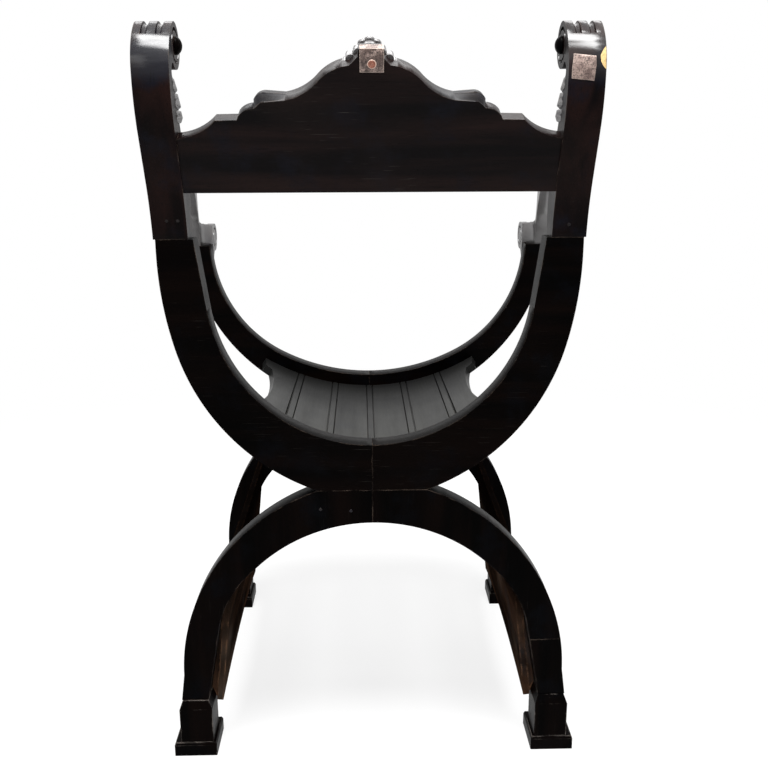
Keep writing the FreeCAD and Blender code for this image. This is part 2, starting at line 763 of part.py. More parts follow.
# Two flutes that follow an arc about centre, from one angle to another, counted from the
# level line to the rear.
def flutes(body, name, centre, radius, middle, begin, finish):
    tilt = (begin + finish) * 0.5 - 90
    axis = (1, 0, 0)
    if tilt.value < 0:
        axis = (-1, 0, 0)
        tilt = -tilt
    origin = (0, centre[1], -centre[0])
    sketch = drawing(body, name, "XZ", origin, (axis, tilt))
    for place in (-1, 1):
        circle(sketch, middle + size("flute_offset") * place, radius, size("flute_width") * 0.5)
    turned(body, "Groove", sketch, finish - begin)


def bosses(name, centre, faces):
    body = piece(name)
    for label, face, outward in faces:
        sketch = drawing(body, label, "XZ", (face, centre[1], -centre[0]))
        rise = size("boss_height")
        rim = size("boss_rim")
        radius = size("boss_radius")
        swell = rise - rim
        dome = (radius * radius + swell * swell) / (swell * 2)
        outline(sketch, [
            (0, 0),
            (0, radius),
            (rim, radius, -dome),
            (rise, 0),
        ], outward)
        turned(body, "Revolution", sketch)


post_middle = post_inner + post_width * 0.5
roll_centre = (roll_back, roll_height)
flute_foot = 41
flute_overlap = 1
for hand, side in sides:
    body = piece("rear_post_" + hand)
    sketch = drawing(body, "outline", "YZ", (0, 0, post_inner * side))
    outline(sketch, post_corners)
    sideways(body, "Pad", sketch, post_width, side)
    flutes(body, "flutes", roll_centre, roll_radius, post_middle * side, roll_turn, roll_end)
    flutes(body, "flute_ends", (back_centre_y, back_centre_z), back_radius,
           post_middle * side, as_dim(flute_foot), roll_turn + flute_overlap)
    inner_face = ("inner", post_inner * side, side)
    outer_face = ("outer", (post_inner + post_width) * side, -side)
    ring_cuts(body, roll_centre, roll_radius, (inner_face, outer_face))
    # mortise for the crest rail's tenon, with play all round
    sketch = drawing(body, "mortise", "YZ", (0, 0, post_inner * side))
    low_edge = tenon_low - fit
    high_edge = tenon_high + fit
    rear_side = tenon_inset - fit
    front_side = crest_thick - tenon_inset + fit
    outline(sketch, [
        crest_point(low_edge, front_side),
        crest_point(low_edge, rear_side),
        crest_point(high_edge, rear_side),
        crest_point(high_edge, front_side),
    ])
    sideways(body, "Pocket", sketch, tenon_length + fit, side)
    foot = [(post_dowel_reach * side, frame_middle(0))]
    holes(body, "foot", "XY", joint_height, foot, pin_radius)
    bosses("post_bosses_" + hand, roll_centre, (
        ("inner", post_inner * side, -side),
        ("outer", (post_inner + post_width) * side, side),
    ))

# Arms: drawn from the side, then cut to their plan, a narrow run that flares inwards to the
# wider scroll

arm_low_share = 0.08
arm_high_share = 0.69


def on_face(share):
    return tuple(a + (b - a) * share for a, b in zip(face_foot, face_top))


arm_heel = on_face(arm_low_share)
arm_crown = on_face(arm_high_share)
arm_run = arm_heel[0] + frame_spacing
arm_rise = arm_heel[1] - arm_rest_height
arm_roll_radius = size("arm_roll_radius")
arm_roll_start = size("arm_roll_start")
arm_roll_end = size("arm_roll_end")
bow_front = -(frame_spacing + frame_thick)
arm_roll = (bow_front - arm_roll_radius, arm_rest_height + size("arm_roll_rise"))
tail_foot = arm_rest_height - size("arm_tail")
# run ahead of the post over the whole run, height over the rise, radius over the run
arm_under_shares = ((0, 0, -0.38), (0.101, 0.408, -0.94), (0.289, 0.708, -3.43))
arm_top_shares = ((0.266, 0.977, 0.216), (0.101, 0.638, -0.216))


def arm_points(shares):
    return [
        (arm_run * run - frame_spacing, arm_rest_height + arm_rise * rise, arm_run * bend)
        for run, rise, bend in shares
    ]


def roll_point(degrees):
    across = arm_roll[0] + arm_roll_radius * cosine(degrees)
    return across, arm_roll[1] + arm_roll_radius * sine(degrees)


arm_corners = arm_points(arm_under_shares)
arm_corners += [arm_heel, arm_crown]
arm_corners += arm_points(arm_top_shares)
arm_corners += [
    roll_point(arm_roll_start) + (arm_roll_radius, True),
    roll_point(arm_roll_end) + (-size("arm_tail_radius"),),
    (bow_front - size("arm_tail_tip"), tail_foot),
    (bow_front, tail_foot),
    (bow_front, arm_rest_height),
]
arm_middle = rest_middle + size("arm_offset")
arm_inner = arm_middle - size("arm_width") * 0.5
arm_outer = arm_middle + size("arm_width") * 0.5
waist_inner = arm_outer - size("arm_waist")
arm_rear_inner = post_inner + size("arm_inset")
arm_rear_outer = post_inner + post_width - size("arm_inset")
arm_front = arm_roll[0] - arm_roll_radius - overrun
peg_share = 0.385
peg_centre = on_face(peg_share)
flute_finish = 250
for hand, side in sides:
    body = piece("arm_" + hand)
    sketch = drawing(body, "profile", "YZ", (0, 0, (arm_rear_inner - overrun) * side))
    outline(sketch, arm_corners)
    sideways(body, "Pad", sketch, arm_outer - arm_rear_inner + overrun * 2, side)
    sketch = drawing(body, "plan", "XY", (0, 0, arm_rest_height))
    outline(sketch, [
        (arm_rear_inner - overrun * 2, arm_front - overrun),
        (arm_outer + overrun * 2, arm_front - overrun),
        (arm_outer + overrun * 2, overrun * 2),
        (arm_rear_inner - overrun * 2, overrun * 2),
    ], side)
    outline(sketch, [
        (arm_inner, arm_front),
        (arm_outer, arm_front),
        (arm_outer, -frame_spacing),
        (arm_rear_outer, 0),
        (arm_rear_outer, overrun),
        (arm_rear_inner, overrun),
        (arm_rear_inner, 0),
        (waist_inner, -frame_spacing, -size("arm_flare_radius")),
        (arm_inner, bow_front),
    ], side)
    feature(body, "Pocket", sketch, overrun * 12, both_ways=True)
    flutes(body, "flutes", arm_roll, arm_roll_radius, arm_middle * side,
           arm_roll_start, as_dim(flute_finish))
    inner_face = ("inner", arm_inner * side, side)
    outer_face = ("outer", arm_outer * side, -side)
    ring_cuts(body, arm_roll, arm_roll_radius, (inner_face, outer_face))
    holes(body, "rest", "XY", arm_rest_height, [(rest_middle * side, frame_middle(1))],
          pin_radius)
    holes(body, "heel", "XZ", -peg_centre[0], [(post_middle * side, peg_centre[1])],
          pin_radius)
    post = doc.getObject("rear_post_" + hand)
    holes(post, "arm", "XZ", -peg_centre[0], [(post_middle * side, peg_centre[1])],
          pin_radius)
    bosses("arm_bosses_" + hand, arm_roll, (("outer", arm_outer * side, side),))

# Side boards between the legs, leaning inwards, with an arched lower edge

board_foot = size("board_foot")
board_lean = size("board_lean")
board_length = (size("board_top") - board_foot) / cosine(board_lean)
for hand, side in sides:
    body = piece("side_board_" + hand)
    origin = (0, board_foot, size("board_reach") * side)
    sketch = drawing(body, "outline", "YZ", origin, ((-side, 0, 0), board_lean))
    outline(sketch, [
        (-frame_spacing, 0, -size("board_arch")),
        (-frame_thick, 0),
        (-frame_thick, board_length),
        (-frame_spacing, board_length),
    ])
    sideways(body, "Pad", sketch, size("board_thick"), side)

# Seat: slats that run from bow to bow and pass from the rear curve to the front curve

seat_thick = size("seat_thick")
rear_seat_radius = rear_inner_radius + size("seat_rear_drop")
front_seat_radius = size("seat_front_radius")
front_seat_centre = front_bow_floor - size("seat_front_drop") + front_seat_radius
seat_pitch = size("seat_pitch")
strip_width = size("strip_width")
seat_reach = size("seat_reach")
ear_width = size("ear_width")


def seat_section(sketch, begin, finish, radius, centre):
    lower = radius + seat_thick
    outline(sketch, [
        (begin, centre - leg_of(lower, begin), lower),
        (finish, centre - leg_of(lower, finish)),
        (finish, centre - leg_of(radius, finish), -radius),
        (begin, centre - leg_of(radius, begin)),
    ])


def slat(name, begin, finish):
    body = piece(name)
    rear = drawing(body, "rear", "XZ", (0, 0, frame_thick))
    seat_section(rear, begin, finish, rear_seat_radius, rear_inner_centre)
    front = drawing(body, "front", "XZ", (0, 0, frame_spacing))
    seat_section(front, begin, finish, front_seat_radius, front_seat_centre)
    loft = body.newObject("PartDesign::AdditiveLoft", name + "_loft")
    loft.Profile = rear
    loft.Sections = [front]
    loft.Ruled = True
    rear.Visibility = False
    front.Visibility = False
    body.Tip = loft
    return body


# The seat's outer edge, drawn on a plane that leans with the seat's slope there, from the front
# bow to the rear bow: a straight ear, a step, a long hollow and the rear ear. Run over the
# slats' length, across over the front ear's width, radius over the slats' length.
slat_run = frame_spacing - frame_thick
seat_edge_shares = (
    (0.000, 1.00, 0),
    (0.141, 0.82, 0),
    (0.158, 0.37, -1.82),
    (0.737, 0.36, -0.20),
    (0.930, 2.08, 0),
)
edge_run = [
    (ear_width * across, slat_run * run - frame_spacing, slat_run * bend if bend else 0)
    for run, across, bend in seat_edge_shares
]
ear_reach = seat_reach + overrun
edge_front = -frame_spacing - overrun
edge_far = overrun * 3
seat_edge = [
    (edge_far, overrun),
    (edge_far, edge_front),
    (edge_run[0][0], edge_front),
]
seat_edge += edge_run
seat_edge.append((edge_run[-1][0], overrun))
edge_lean = size("seat_edge_lean")
edge_height = (
    rear_inner_centre - leg_of(rear_seat_radius, seat_reach)
    + front_seat_centre - leg_of(front_seat_radius, seat_reach)) * 0.5

strips = 5
boards = strips + 1
for number in range(boards):
    place = number - boards // 2
    begin = seat_pitch * place + strip_width * 0.5
    finish = seat_pitch * (place + 1) - strip_width * 0.5
    outermost = number in (0, boards - 1)
    if number == 0:
        begin = -ear_reach
    if number == boards - 1:
        finish = ear_reach
    body = slat("seat_board_" + str(number + 1), begin, finish)
    if outermost:
        side = 1 if number else -1
        sketch = drawing(body, "edge", "XY", (seat_reach * side, 0, edge_height),
                         ((0, -side, 0), edge_lean))
        outline(sketch, seat_edge, side)
        feature(body, "Pocket", sketch, overrun * 3, both_ways=True)

for number in range(strips):
    place = number - strips // 2
    slat("seat_strip_" + str(number + 1), seat_pitch * place - strip_width * 0.5,
         seat_pitch * place + strip_width * 0.5)

# Bearers under the ends of the slats

bearer_reach = size("bearer_reach")
bearer_gap = size("bearer_gap")
bearer_depth = size("bearer_depth")
for frame, front in frames:
    body = piece(frame + "_seat_bearer")
    radius = front_seat_radius if front else rear_seat_radius
    centre = front_seat_centre if front else rear_inner_centre
    upper = radius + seat_thick + bearer_gap
    lower = upper + size("bearer_height")
    offset = frame_spacing - bearer_depth if front else frame_thick
    sketch = drawing(body, "outline", "XZ", (0, 0, offset))
    outline(sketch, [
        (-bearer_reach, centre - leg_of(lower, bearer_reach), lower),
        (bearer_reach, centre - leg_of(lower, bearer_reach)),
        (bearer_reach, centre - leg_of(upper, bearer_reach), -upper),
        (-bearer_reach, centre - leg_of(upper, bearer_reach)),
    ])
    feature(body, "Pad", sketch, bearer_depth)

# Copper plates: one folded over the crest, one bent along the right post's back

plate_size = size("plate_size")
plate_thick = size("plate_thick")
plate_fold = size("plate_fold")
plate_foot = crest_height - size("plate_drop")
body = piece("crest_plate")
plate_place = -size("plate_offset")
sketch = drawing(body, "profile", "YZ", (0, 0, plate_place))
outline(sketch, [
    crest_point(plate_foot, -plate_thick),
    crest_point(crest_height + plate_thick, -plate_thick),
    crest_point(crest_height + plate_thick, plate_fold),
    crest_point(crest_height, plate_fold),
    crest_point(crest_height, as_dim(0)),
    crest_point(plate_foot, as_dim(0)),
])
feature(body, "Pad", sketch, plate_size, both_ways=True)

body = piece("crest_plate_rivet")
rivet_radius = size("rivet_radius")
rivet_rise = size("rivet_rise")
back, height = crest_point(crest_height - size("rivet_drop"), -plate_thick)
sketch = drawing(body, "profile", "YZ", (back, height, plate_place), ((0, 0, -1), crest_lean))
dome = (rivet_radius * rivet_radius + rivet_rise * rivet_rise) / (rivet_rise * 2)
outline(sketch, [
    (0, 0),
    (rivet_rise, 0, dome),
    (0, rivet_radius),
])
turned(body, "Revolution", sketch)

body = piece("post_plate")
plate_middle = post_middle - size("post_plate_inset")
plate_height = back_centre_z + size("post_plate_rise")
plate_turn = 26
plate_end_share = 0.6
plate_drop = plate_size * plate_end_share - size("post_plate_rise")
plate_gap = fit * 0.5


# Points of the post's back moved out by gap, below and above its fullest point.
def behind_low(gap):
    radius = hollow_radius + gap
    across = post_rear - hollow_radius + leg_of(radius, plate_drop)
    return across, back_centre_z - plate_drop, radius


def behind_high(gap):
    radius = back_radius + gap
    across = back_centre_y + radius * cosine(plate_turn)
    return across, back_centre_z + radius * sine(plate_turn)


near = plate_gap
far = plate_gap + plate_thick
sketch = drawing(body, "profile", "YZ", (0, 0, -plate_middle))
outline(sketch, [
    behind_low(far),
    (post_rear + far, back_centre_z, back_radius + far),
    behind_high(far),
    behind_high(near) + (-(back_radius + near),),
    (post_rear + near, back_centre_z, -(hollow_radius + near)),
    behind_low(near)[:2],
])
feature(body, "Pad", sketch, plate_size + fit, both_ways=True)
tilt = size("post_plate_tilt")
sketch = drawing(body, "square", "XZ", (-plate_middle, plate_height, -post_rear),
                 ((0, 0, 1), tilt))
rectangle(sketch, as_dim(0), as_dim(0), plate_size * 3, plate_size * 3)
rectangle(sketch, as_dim(0), as_dim(0), plate_size, plate_size)
feature(body, "Pocket", sketch, overrun, both_ways=True)

# Dowels

rear_middle = frame_middle(0)
front_middle = frame_middle(1)
both = (1, -1)
for frame, front in frames:
    centres = [(hub_dowel_reach * side, frame_middle(front)) for side in both]
    dowels(piece(frame + "_hub_dowels"), "dowels", "XY", hub_height, centres, dowel_radius)
centres = [(rear_middle, seam_height), (front_middle, seam_height)]
dowels(piece("arch_seam_dowels"), "dowels", "YZ", 0, centres, pin_radius)
centres = [(rear_middle, bow_seam_height), (front_middle, bow_seam_height)]
dowels(piece("bow_seam_dowels"), "dowels", "YZ", 0, centres, pin_radius)
centres = [(block_reach * side, middle) for side in both for middle in (rear_middle, front_middle)]
dowels(piece("foot_dowels"), "dowels", "XY", foot_top, centres, dowel_radius)
centres = [(-splice_middle, rear_middle)]
dowels(piece("splice_dowel"), "dowels", "XY", splice_height, centres, pin_radius)
centres = [(post_dowel_reach * side, rear_middle) for side in both]
dowels(piece("post_dowels"), "dowels", "XY", joint_height, centres, pin_radius)
centres = [(rest_middle * side, front_middle) for side in both]
dowels(piece("arm_rest_dowels"), "dowels", "XY", arm_rest_height, centres, pin_radius)
centres = [(post_middle * side, peg_centre[1]) for side in both]
dowels(piece("arm_heel_dowels"), "dowels", "XZ", -peg_centre[0], centres, pin_radius)

doc.recompute()

problems = []
for thing in doc.Objects:
    if "Invalid" in thing.State or "Error" in thing.State:
        problems.append(thing.Name + " " + " ".join(thing.State))
for body in pieces:
    if body.Shape.isNull() or not body.Shape.isValid() or not body.Shape.Solids:
        problems.append(body.Name + " has no valid shape")
if problems:
    raise SystemExit("\n".join(problems))

# The whole chair is moved so that the middle of its footprint is the origin.
box = FreeCAD.BoundBox()
for body in pieces:
    box.add(body.Shape.optimalBoundingBox(False))
shift = FreeCAD.Vector(-box.Center.x, -box.Center.y, -box.ZMin)
for body in pieces:
    body.Placement.Base = body.Placement.Base + shift
doc.recompute()

os.makedirs("parts", exist_ok=True)
for body in pieces:
    body.Shape.exportStep("parts/" + body.Label + ".step")
    print(body.Label, round(body.Shape.Volume), len(body.Shape.Solids), len(body.Shape.Faces))
print("pieces", len(pieces))
print("shift", shift, "overall", box.XLength, box.YLength, box.ZLength)
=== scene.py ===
import math
import random

import bmesh
import bpy
from mathutils import Matrix, Vector


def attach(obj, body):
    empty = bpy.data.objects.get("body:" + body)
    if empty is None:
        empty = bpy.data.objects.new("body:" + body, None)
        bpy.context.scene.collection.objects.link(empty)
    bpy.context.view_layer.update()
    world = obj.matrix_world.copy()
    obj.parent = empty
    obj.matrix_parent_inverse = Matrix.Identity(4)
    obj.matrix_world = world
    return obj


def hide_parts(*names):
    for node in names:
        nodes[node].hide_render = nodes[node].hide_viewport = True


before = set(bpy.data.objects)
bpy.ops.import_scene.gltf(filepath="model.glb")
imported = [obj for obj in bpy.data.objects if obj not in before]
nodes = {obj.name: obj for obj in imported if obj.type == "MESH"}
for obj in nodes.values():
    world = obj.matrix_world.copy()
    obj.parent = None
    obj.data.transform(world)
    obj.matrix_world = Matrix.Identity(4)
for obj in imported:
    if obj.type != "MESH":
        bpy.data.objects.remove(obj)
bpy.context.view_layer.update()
print("frame loaded,", len(nodes), "nodes")


# Sockets as values: an expression on them adds its Math nodes

class Wire:
    def __init__(self, shader, socket):
        self.shader = shader
        self.socket = socket

    def maths(self, operation, *values):
        return self.shader.wire("ShaderNodeMath", {"operation": operation}, dict(enumerate(values)))

    def __add__(self, other):
        return self.maths("ADD", self, other)

    def __radd__(self, other):
        return self.maths("ADD", other, self)

    def __sub__(self, other):
        return self.maths("SUBTRACT", self, other)

    def __rsub__(self, other):
        return self.maths("SUBTRACT", other, self)

    def __mul__(self, other):
        return self.maths("MULTIPLY", self, other)

    def __rmul__(self, other):
        return self.maths("MULTIPLY", other, self)

    def between(self, low, high):                # 0 at low, 1 at high, smooth in between
        return self.shader.wire("ShaderNodeMapRange", {"interpolation_type": "SMOOTHSTEP"},
                                {"Value": self, "From Min": low, "From Max": high}, "Result")


# Nodes of one material or world

reliefDepth = 0.0006                             # metres, for a full step of a height
bevelSamples = 4


class Shader:
    def __init__(self, owner):
        owner.use_nodes = True
        self.tree = owner.node_tree
        self.tree.nodes.clear()

    def node(self, kind, settings, values):      # settings first, then what goes into the sockets
        made = self.tree.nodes.new(kind)
        for name, value in settings.items():
            setattr(made, name, value)
        for name, value in values.items():
            socket = made.inputs[name]
            if isinstance(value, Wire):
                self.tree.links.new(value.socket, socket)
            elif socket.type == "RGBA":
                socket.default_value = (*value, 1)
            else:
                socket.default_value = value
        return made

    def wire(self, kind, settings, values, output=0):
        return Wire(self, self.node(kind, settings, values).outputs[output])

    def mix(self, share, first, second):
        return self.wire("ShaderNodeMix", {"data_type": "RGBA"}, {0: share, 6: first, 7: second}, 2)

    def noise(self, place, stretch, scale=1, detail=3, roughness=0.5, distortion=0):
        moved = self.wire("ShaderNodeMapping", {"vector_type": "POINT"},
                          {"Vector": place, "Scale": stretch})
        return self.wire("ShaderNodeTexNoise", {},
                         {"Vector": moved, "Scale": scale, "Detail": detail,
                          "Roughness": roughness, "Distortion": distortion})

    def part(self, vector, axis):
        return self.wire("ShaderNodeSeparateXYZ", {}, {0: vector}, axis)

    def sharpness(self, facing, radius):         # 0 on flat stretches, more towards an arris
        softened = self.wire("ShaderNodeBevel", {"samples": bevelSamples}, {"Radius": radius})
        return 1 - self.wire("ShaderNodeVectorMath", {"operation": "DOT_PRODUCT"},
                             {0: softened, 1: facing}, "Value")

    def relief(self, height, strength):
        return self.wire("ShaderNodeBump", {},
                         {"Strength": strength, "Distance": reliefDepth, "Height": height})

    def finish(self, values):
        surface = self.wire("ShaderNodeBsdfPrincipled", {}, values)
        self.node("ShaderNodeOutputMaterial", {}, {"Surface": surface})


# Woods: one figure for all of them, and the colours, wear, painted shade and painted sheen of each

allRound = (1, 1, 1)
noiseMean = 0.5

grainLook = {
    # scales of the noises, along and across the grain or all round
    "figure": (2.4, 30), "fibre": (14, 620), "pores": (36, 900), "scratches": (30, 1400),
    "mottle": 17, "patches": 5.5, "rubbing": 46,
    # how far apart the pieces of one wood lie in the noise
    "shift": (3.1, 5.3, 4.7),
    # where each mask starts and where it is full
    "arris": (0.004, 0.12), "rubbed": (0.42, 0.66), "scratched": (0.70, 0.78),
    "scratchedPatch": (0.45, 0.62), "brown": (0.34, 0.70), "blue": (0.49, 0.70),
    "pore": (0.60, 0.72), "faded": (0.50, 0.72), "streak": (0.30, 0.58),
    "poreShare": 0.6, "unstreakedPolish": 0.60,
    # what each adds to the roughness, and to the height under the bump
    "rough": {"fibre": 0.16, "worn": 0.12, "arris": -0.06, "scratches": 0.2},
    "height": {"fibre": 0.35, "figure": 0.5, "pores": -0.5, "mottle": 0.5, "scratches": -0.6},
}


def stretched(grain, scales):
    along, across = scales
    return tuple(along if axis == grain else across for axis in "XYZ")


def woodMaterial(name, grain, look):
    material = bpy.data.materials.new(name)
    shader = Shader(material)
    here = shader.wire("ShaderNodeTexCoord", {}, {}, "Object")
    facing = shader.wire("ShaderNodeNewGeometry", {}, {}, "Normal")
    chance = shader.wire("ShaderNodeObjectInfo", {}, {}, "Random")
    shift = shader.wire("ShaderNodeCombineXYZ", {},
                        {axis: chance * far for axis, far in enumerate(grainLook["shift"])})
    place = shader.wire("ShaderNodeVectorMath", {"operation": "ADD"}, {0: here, 1: shift})
    figure = shader.noise(place, stretched(grain, grainLook["figure"]), detail=4, distortion=0.6)
    fibre = shader.noise(place, stretched(grain, grainLook["fibre"]), detail=3, roughness=0.6)
    pores = shader.noise(place, stretched(grain, grainLook["pores"]), detail=2)
    mottle = shader.noise(place, allRound, scale=grainLook["mottle"], detail=5, roughness=0.62)
    patches = shader.noise(place, allRound, scale=grainLook["patches"], detail=3)
    rubbing = shader.noise(place, allRound, scale=grainLook["rubbing"], detail=4, roughness=0.7)
    scratches = shader.noise(place, stretched(grain, grainLook["scratches"]), detail=1)

    arris = shader.sharpness(facing, look["wornWidth"]).between(*grainLook["arris"])
    worn = arris * rubbing.between(*grainLook["rubbed"]) * look["wear"]
    scratches = scratches.between(*grainLook["scratched"])
    scratches = scratches * patches.between(*grainLook["scratchedPatch"]) * look["scratched"]
    pores = pores.between(*grainLook["pore"])

    colour = shader.mix(figure.between(*grainLook["brown"]), look["dark"], look["brown"])
    colour = shader.mix(mottle.between(*grainLook["blue"]) * look["bluing"], colour, look["blue"])
    colour = shader.mix(pores * grainLook["poreShare"], colour, look["pore"])
    colour = shader.mix(patches.between(*grainLook["faded"]) * look["fading"], colour, look["faded"])
    colour = shader.mix(scratches, colour, look["scratch"])
    colour = shader.mix(worn, colour, look["bare"])
    # painted shade: darker along one axis, mixed towards the pore colour
    if look["shaded"]:
        axis, low, high, share = look["shaded"]
        colour = shader.mix(shader.part(here, axis).between(low, high) * share, colour, look["pore"])

    rough = grainLook["rough"]
    roughness = (look["roughness"] + (fibre - noiseMean) * rough["fibre"]
                 + (mottle - noiseMean) * look["uneven"] + worn * rough["worn"]
                 + arris * rough["arris"] + scratches * rough["scratches"])
    tall = grainLook["height"]
    height = (fibre * tall["fibre"] + figure * tall["figure"] + pores * tall["pores"]
              + mottle * tall["mottle"] + scratches * tall["scratches"])
    polish = look["polish"]
    if look["polishAndSheen"]:
        axis, low, high, share = look["polishAndSheen"]
        polishAndSheen = shader.part(here, axis).between(low, high) * share
        if look["backOnly"]:
            polishAndSheen = polishAndSheen * shader.part(facing, "Y").between(*look["backOnly"])
        # painted sheen: the colour turns grey where the polish lies on faces that look to the rear
        colour = shader.mix(polishAndSheen * look["paintedSheen"], colour, look["paintedSheenColour"])
        streaks = shader.noise(here, look["streaks"], detail=5, roughness=0.65)
        streaks = streaks.between(*grainLook["streak"])
        least = grainLook["unstreakedPolish"]
        polish = polish + polishAndSheen * (least + (1 - least) * streaks)
    shader.finish({
        "Base Color": colour, "Roughness": roughness, "Specular IOR Level": look["specular"],
        "Coat Weight": polish, "Coat Roughness": look["polishRoughness"],
        "Normal": shader.relief(height, look["relief"])})
    return material


frameWood = {                                        # the two frames: black stain, gone dull
    "dark": (0.0004, 0.0003, 0.0003), "brown": (0.0018, 0.0009, 0.0007),
    "blue": (0.0011, 0.0013, 0.0019), "bluing": 0.7,
    "pore": (0.0002, 0.0002, 0.0002),
    "faded": (0.0020, 0.0012, 0.0010), "fading": 0.35,
    "scratch": (0.10, 0.09, 0.08), "scratched": 0.07,
    "bare": (0.12, 0.09, 0.07), "wear": 0.40, "wornWidth": 0.0018,
    "roughness": 0.33, "uneven": 0.22, "relief": 0.35, "specular": 0.014,
    "polish": 0.0, "polishRoughness": 0.22,
    "polishAndSheen": None,                                 # polish from hands, and the painted sheen there: axis, from, to, share
    "backOnly": None,                                # only on faces that look to the rear: from, to
    "streaks": (9, 30, 60),                          # scales of the streaks in that polish
    "paintedSheen": 0.0, "paintedSheenColour": (0.34, 0.33, 0.33),         # share and colour of the painted sheen there, standing in for a reflection
    "shaded": None,                                  # painted shade, darker along an axis: axis, from, to, share
}
crestWood = dict(
    frameWood, dark=(0.0020, 0.0014, 0.0016), brown=(0.0100, 0.0050, 0.0044),
    blue=(0.0034, 0.0036, 0.0062), pore=(0.0010, 0.0008, 0.0008), faded=(0.0110, 0.0070, 0.0060),
    specular=0.05, scratched=0.30)
postWood = dict(
    crestWood, dark=(0.0012, 0.0008, 0.0010), brown=(0.0090, 0.0038, 0.0032),
    blue=(0.0032, 0.0036, 0.0066), bluing=0.9, faded=(0.0100, 0.0058, 0.0050),
    scratched=0.12, specular=0.035, polishRoughness=0.20,
    polishAndSheen=("Z", 0.878, 0.916, 1.0), backOnly=(0.15, 0.60))
# the seat: painted shadow and dark reflection of the front bow, darker towards the front
seatWood = dict(
    frameWood, dark=(0.010, 0.010, 0.009), brown=(0.017, 0.017, 0.015),
    blue=(0.011, 0.012, 0.015), bluing=0.3, pore=(0.005, 0.005, 0.005),
    faded=(0.024, 0.024, 0.022), wear=0.15, scratched=0.10, roughness=0.38, specular=0.018,
    relief=0.07, polishAndSheen=("Y", -0.17, 0.06, 0.24), streaks=(60, 3, 3),
    shaded=("Y", 0.10, -0.12, 0.9))
# the arms: a painted sheen lightens their faces that look to the rear
armWood = dict(
    frameWood, dark=(0.003, 0.0022, 0.0022), brown=(0.010, 0.0062, 0.0052),
    blue=(0.004, 0.004, 0.009), pore=(0.0012, 0.0010, 0.0010), faded=(0.013, 0.009, 0.008),
    scratched=0.15, roughness=0.34, specular=0.12, polish=0.28, polishRoughness=0.26,
    polishAndSheen=("Z", 0.0, 0.1, 0.72), backOnly=(0.02, 0.30), paintedSheen=0.28)
# the carving: a lighter copy of the arms' wood that paints the light on the leaves and the fan, with a
# stronger painted sheen
carvedWood = dict(
    armWood, dark=(0.010, 0.008, 0.008), brown=(0.022, 0.016, 0.014), specular=0.3,
    polish=0.20, polishRoughness=0.34, polishAndSheen=("Z", 0.0, 0.1, 0.9), backOnly=(-0.05, 0.30))
# the feet: wide grey arris wear, which also paints the light lines along the caps' top edges as a painted
# highlight
footWood = dict(frameWood, bare=(0.16, 0.140, 0.125), wear=0.8, wornWidth=0.0022)
pegWood = dict(
    armWood, dark=(0.004, 0.003, 0.003), brown=(0.012, 0.010, 0.010),
    faded=(0.018, 0.016, 0.015), specular=0.08, polish=0.12, polishAndSheen=None)
# the side boards: painted shade, darker towards their tops under the seat
brownWood = dict(
    frameWood, dark=(0.008, 0.0048, 0.0034), brown=(0.034, 0.0175, 0.0105),
    blue=(0.020, 0.018, 0.018), pore=(0.0012, 0.0008, 0.0007), faded=(0.072, 0.053, 0.040),
    fading=0.5, bare=(0.17, 0.09, 0.05), wear=0.8, wornWidth=0.004,
    roughness=0.75, relief=0.6, specular=0.0, shaded=("Z", 0.150, 0.235, 0.92))
bareWood = dict(
    brownWood, dark=(0.26, 0.16, 0.06), brown=(0.52, 0.37, 0.17), blue=(0.30, 0.20, 0.10),
    pore=(0.08, 0.04, 0.02), faded=(0.62, 0.48, 0.26), wear=0.0, roughness=0.6, shaded=None)
dowelWood = dict(
    brownWood, dark=(0.30, 0.20, 0.12), brown=(0.42, 0.30, 0.18), blue=(0.34, 0.25, 0.17),
    pore=(0.16, 0.10, 0.06), faded=(0.50, 0.38, 0.25), wear=0.0, roughness=0.7)

woods = {                                            # the look, and the ways its grain runs
    "black": (frameWood, "XZ"), "crest": (crestWood, "X"), "post": (postWood, "Z"),
    "seat": (seatWood, "Y"), "arm": (armWood, "Y"), "carved": (carvedWood, "Z"),
    "foot": (footWood, "YZ"), "peg": (pegWood, "X"), "brown": (brownWood, "XYZ"),
    "bare": (bareWood, "Z"), "dowel": (dowelWood, "X"),
}
woodMaterials = {(word, grain): woodMaterial(word + "Wood" + grain, grain, look)
                 for word, (look, grains) in woods.items() for grain in grains}
print("woods made")


# Copper: dull and bright clouds, dark spots, bright rims

tarnish = {
    # scales of the noises
    "clouds": 90, "spots": 620, "hammering": 160,
    # where each mask starts and where it is full, and its share
    "bright": (0.42, 0.58), "spotted": (0.51, 0.57), "green": (0.60, 0.78), "dented": (0.40, 0.60),
    "spotShare": 0.85, "greenShare": 0.4, "undentedShade": 0.6,
    "rim": (0.002, 0.08), "rimShare": 0.8, "rimWidth": 0.0012,
    "rough": 0.5, "hammeringHeight": 0.7, "spotHeight": 0.3, "relief": 0.55,
}


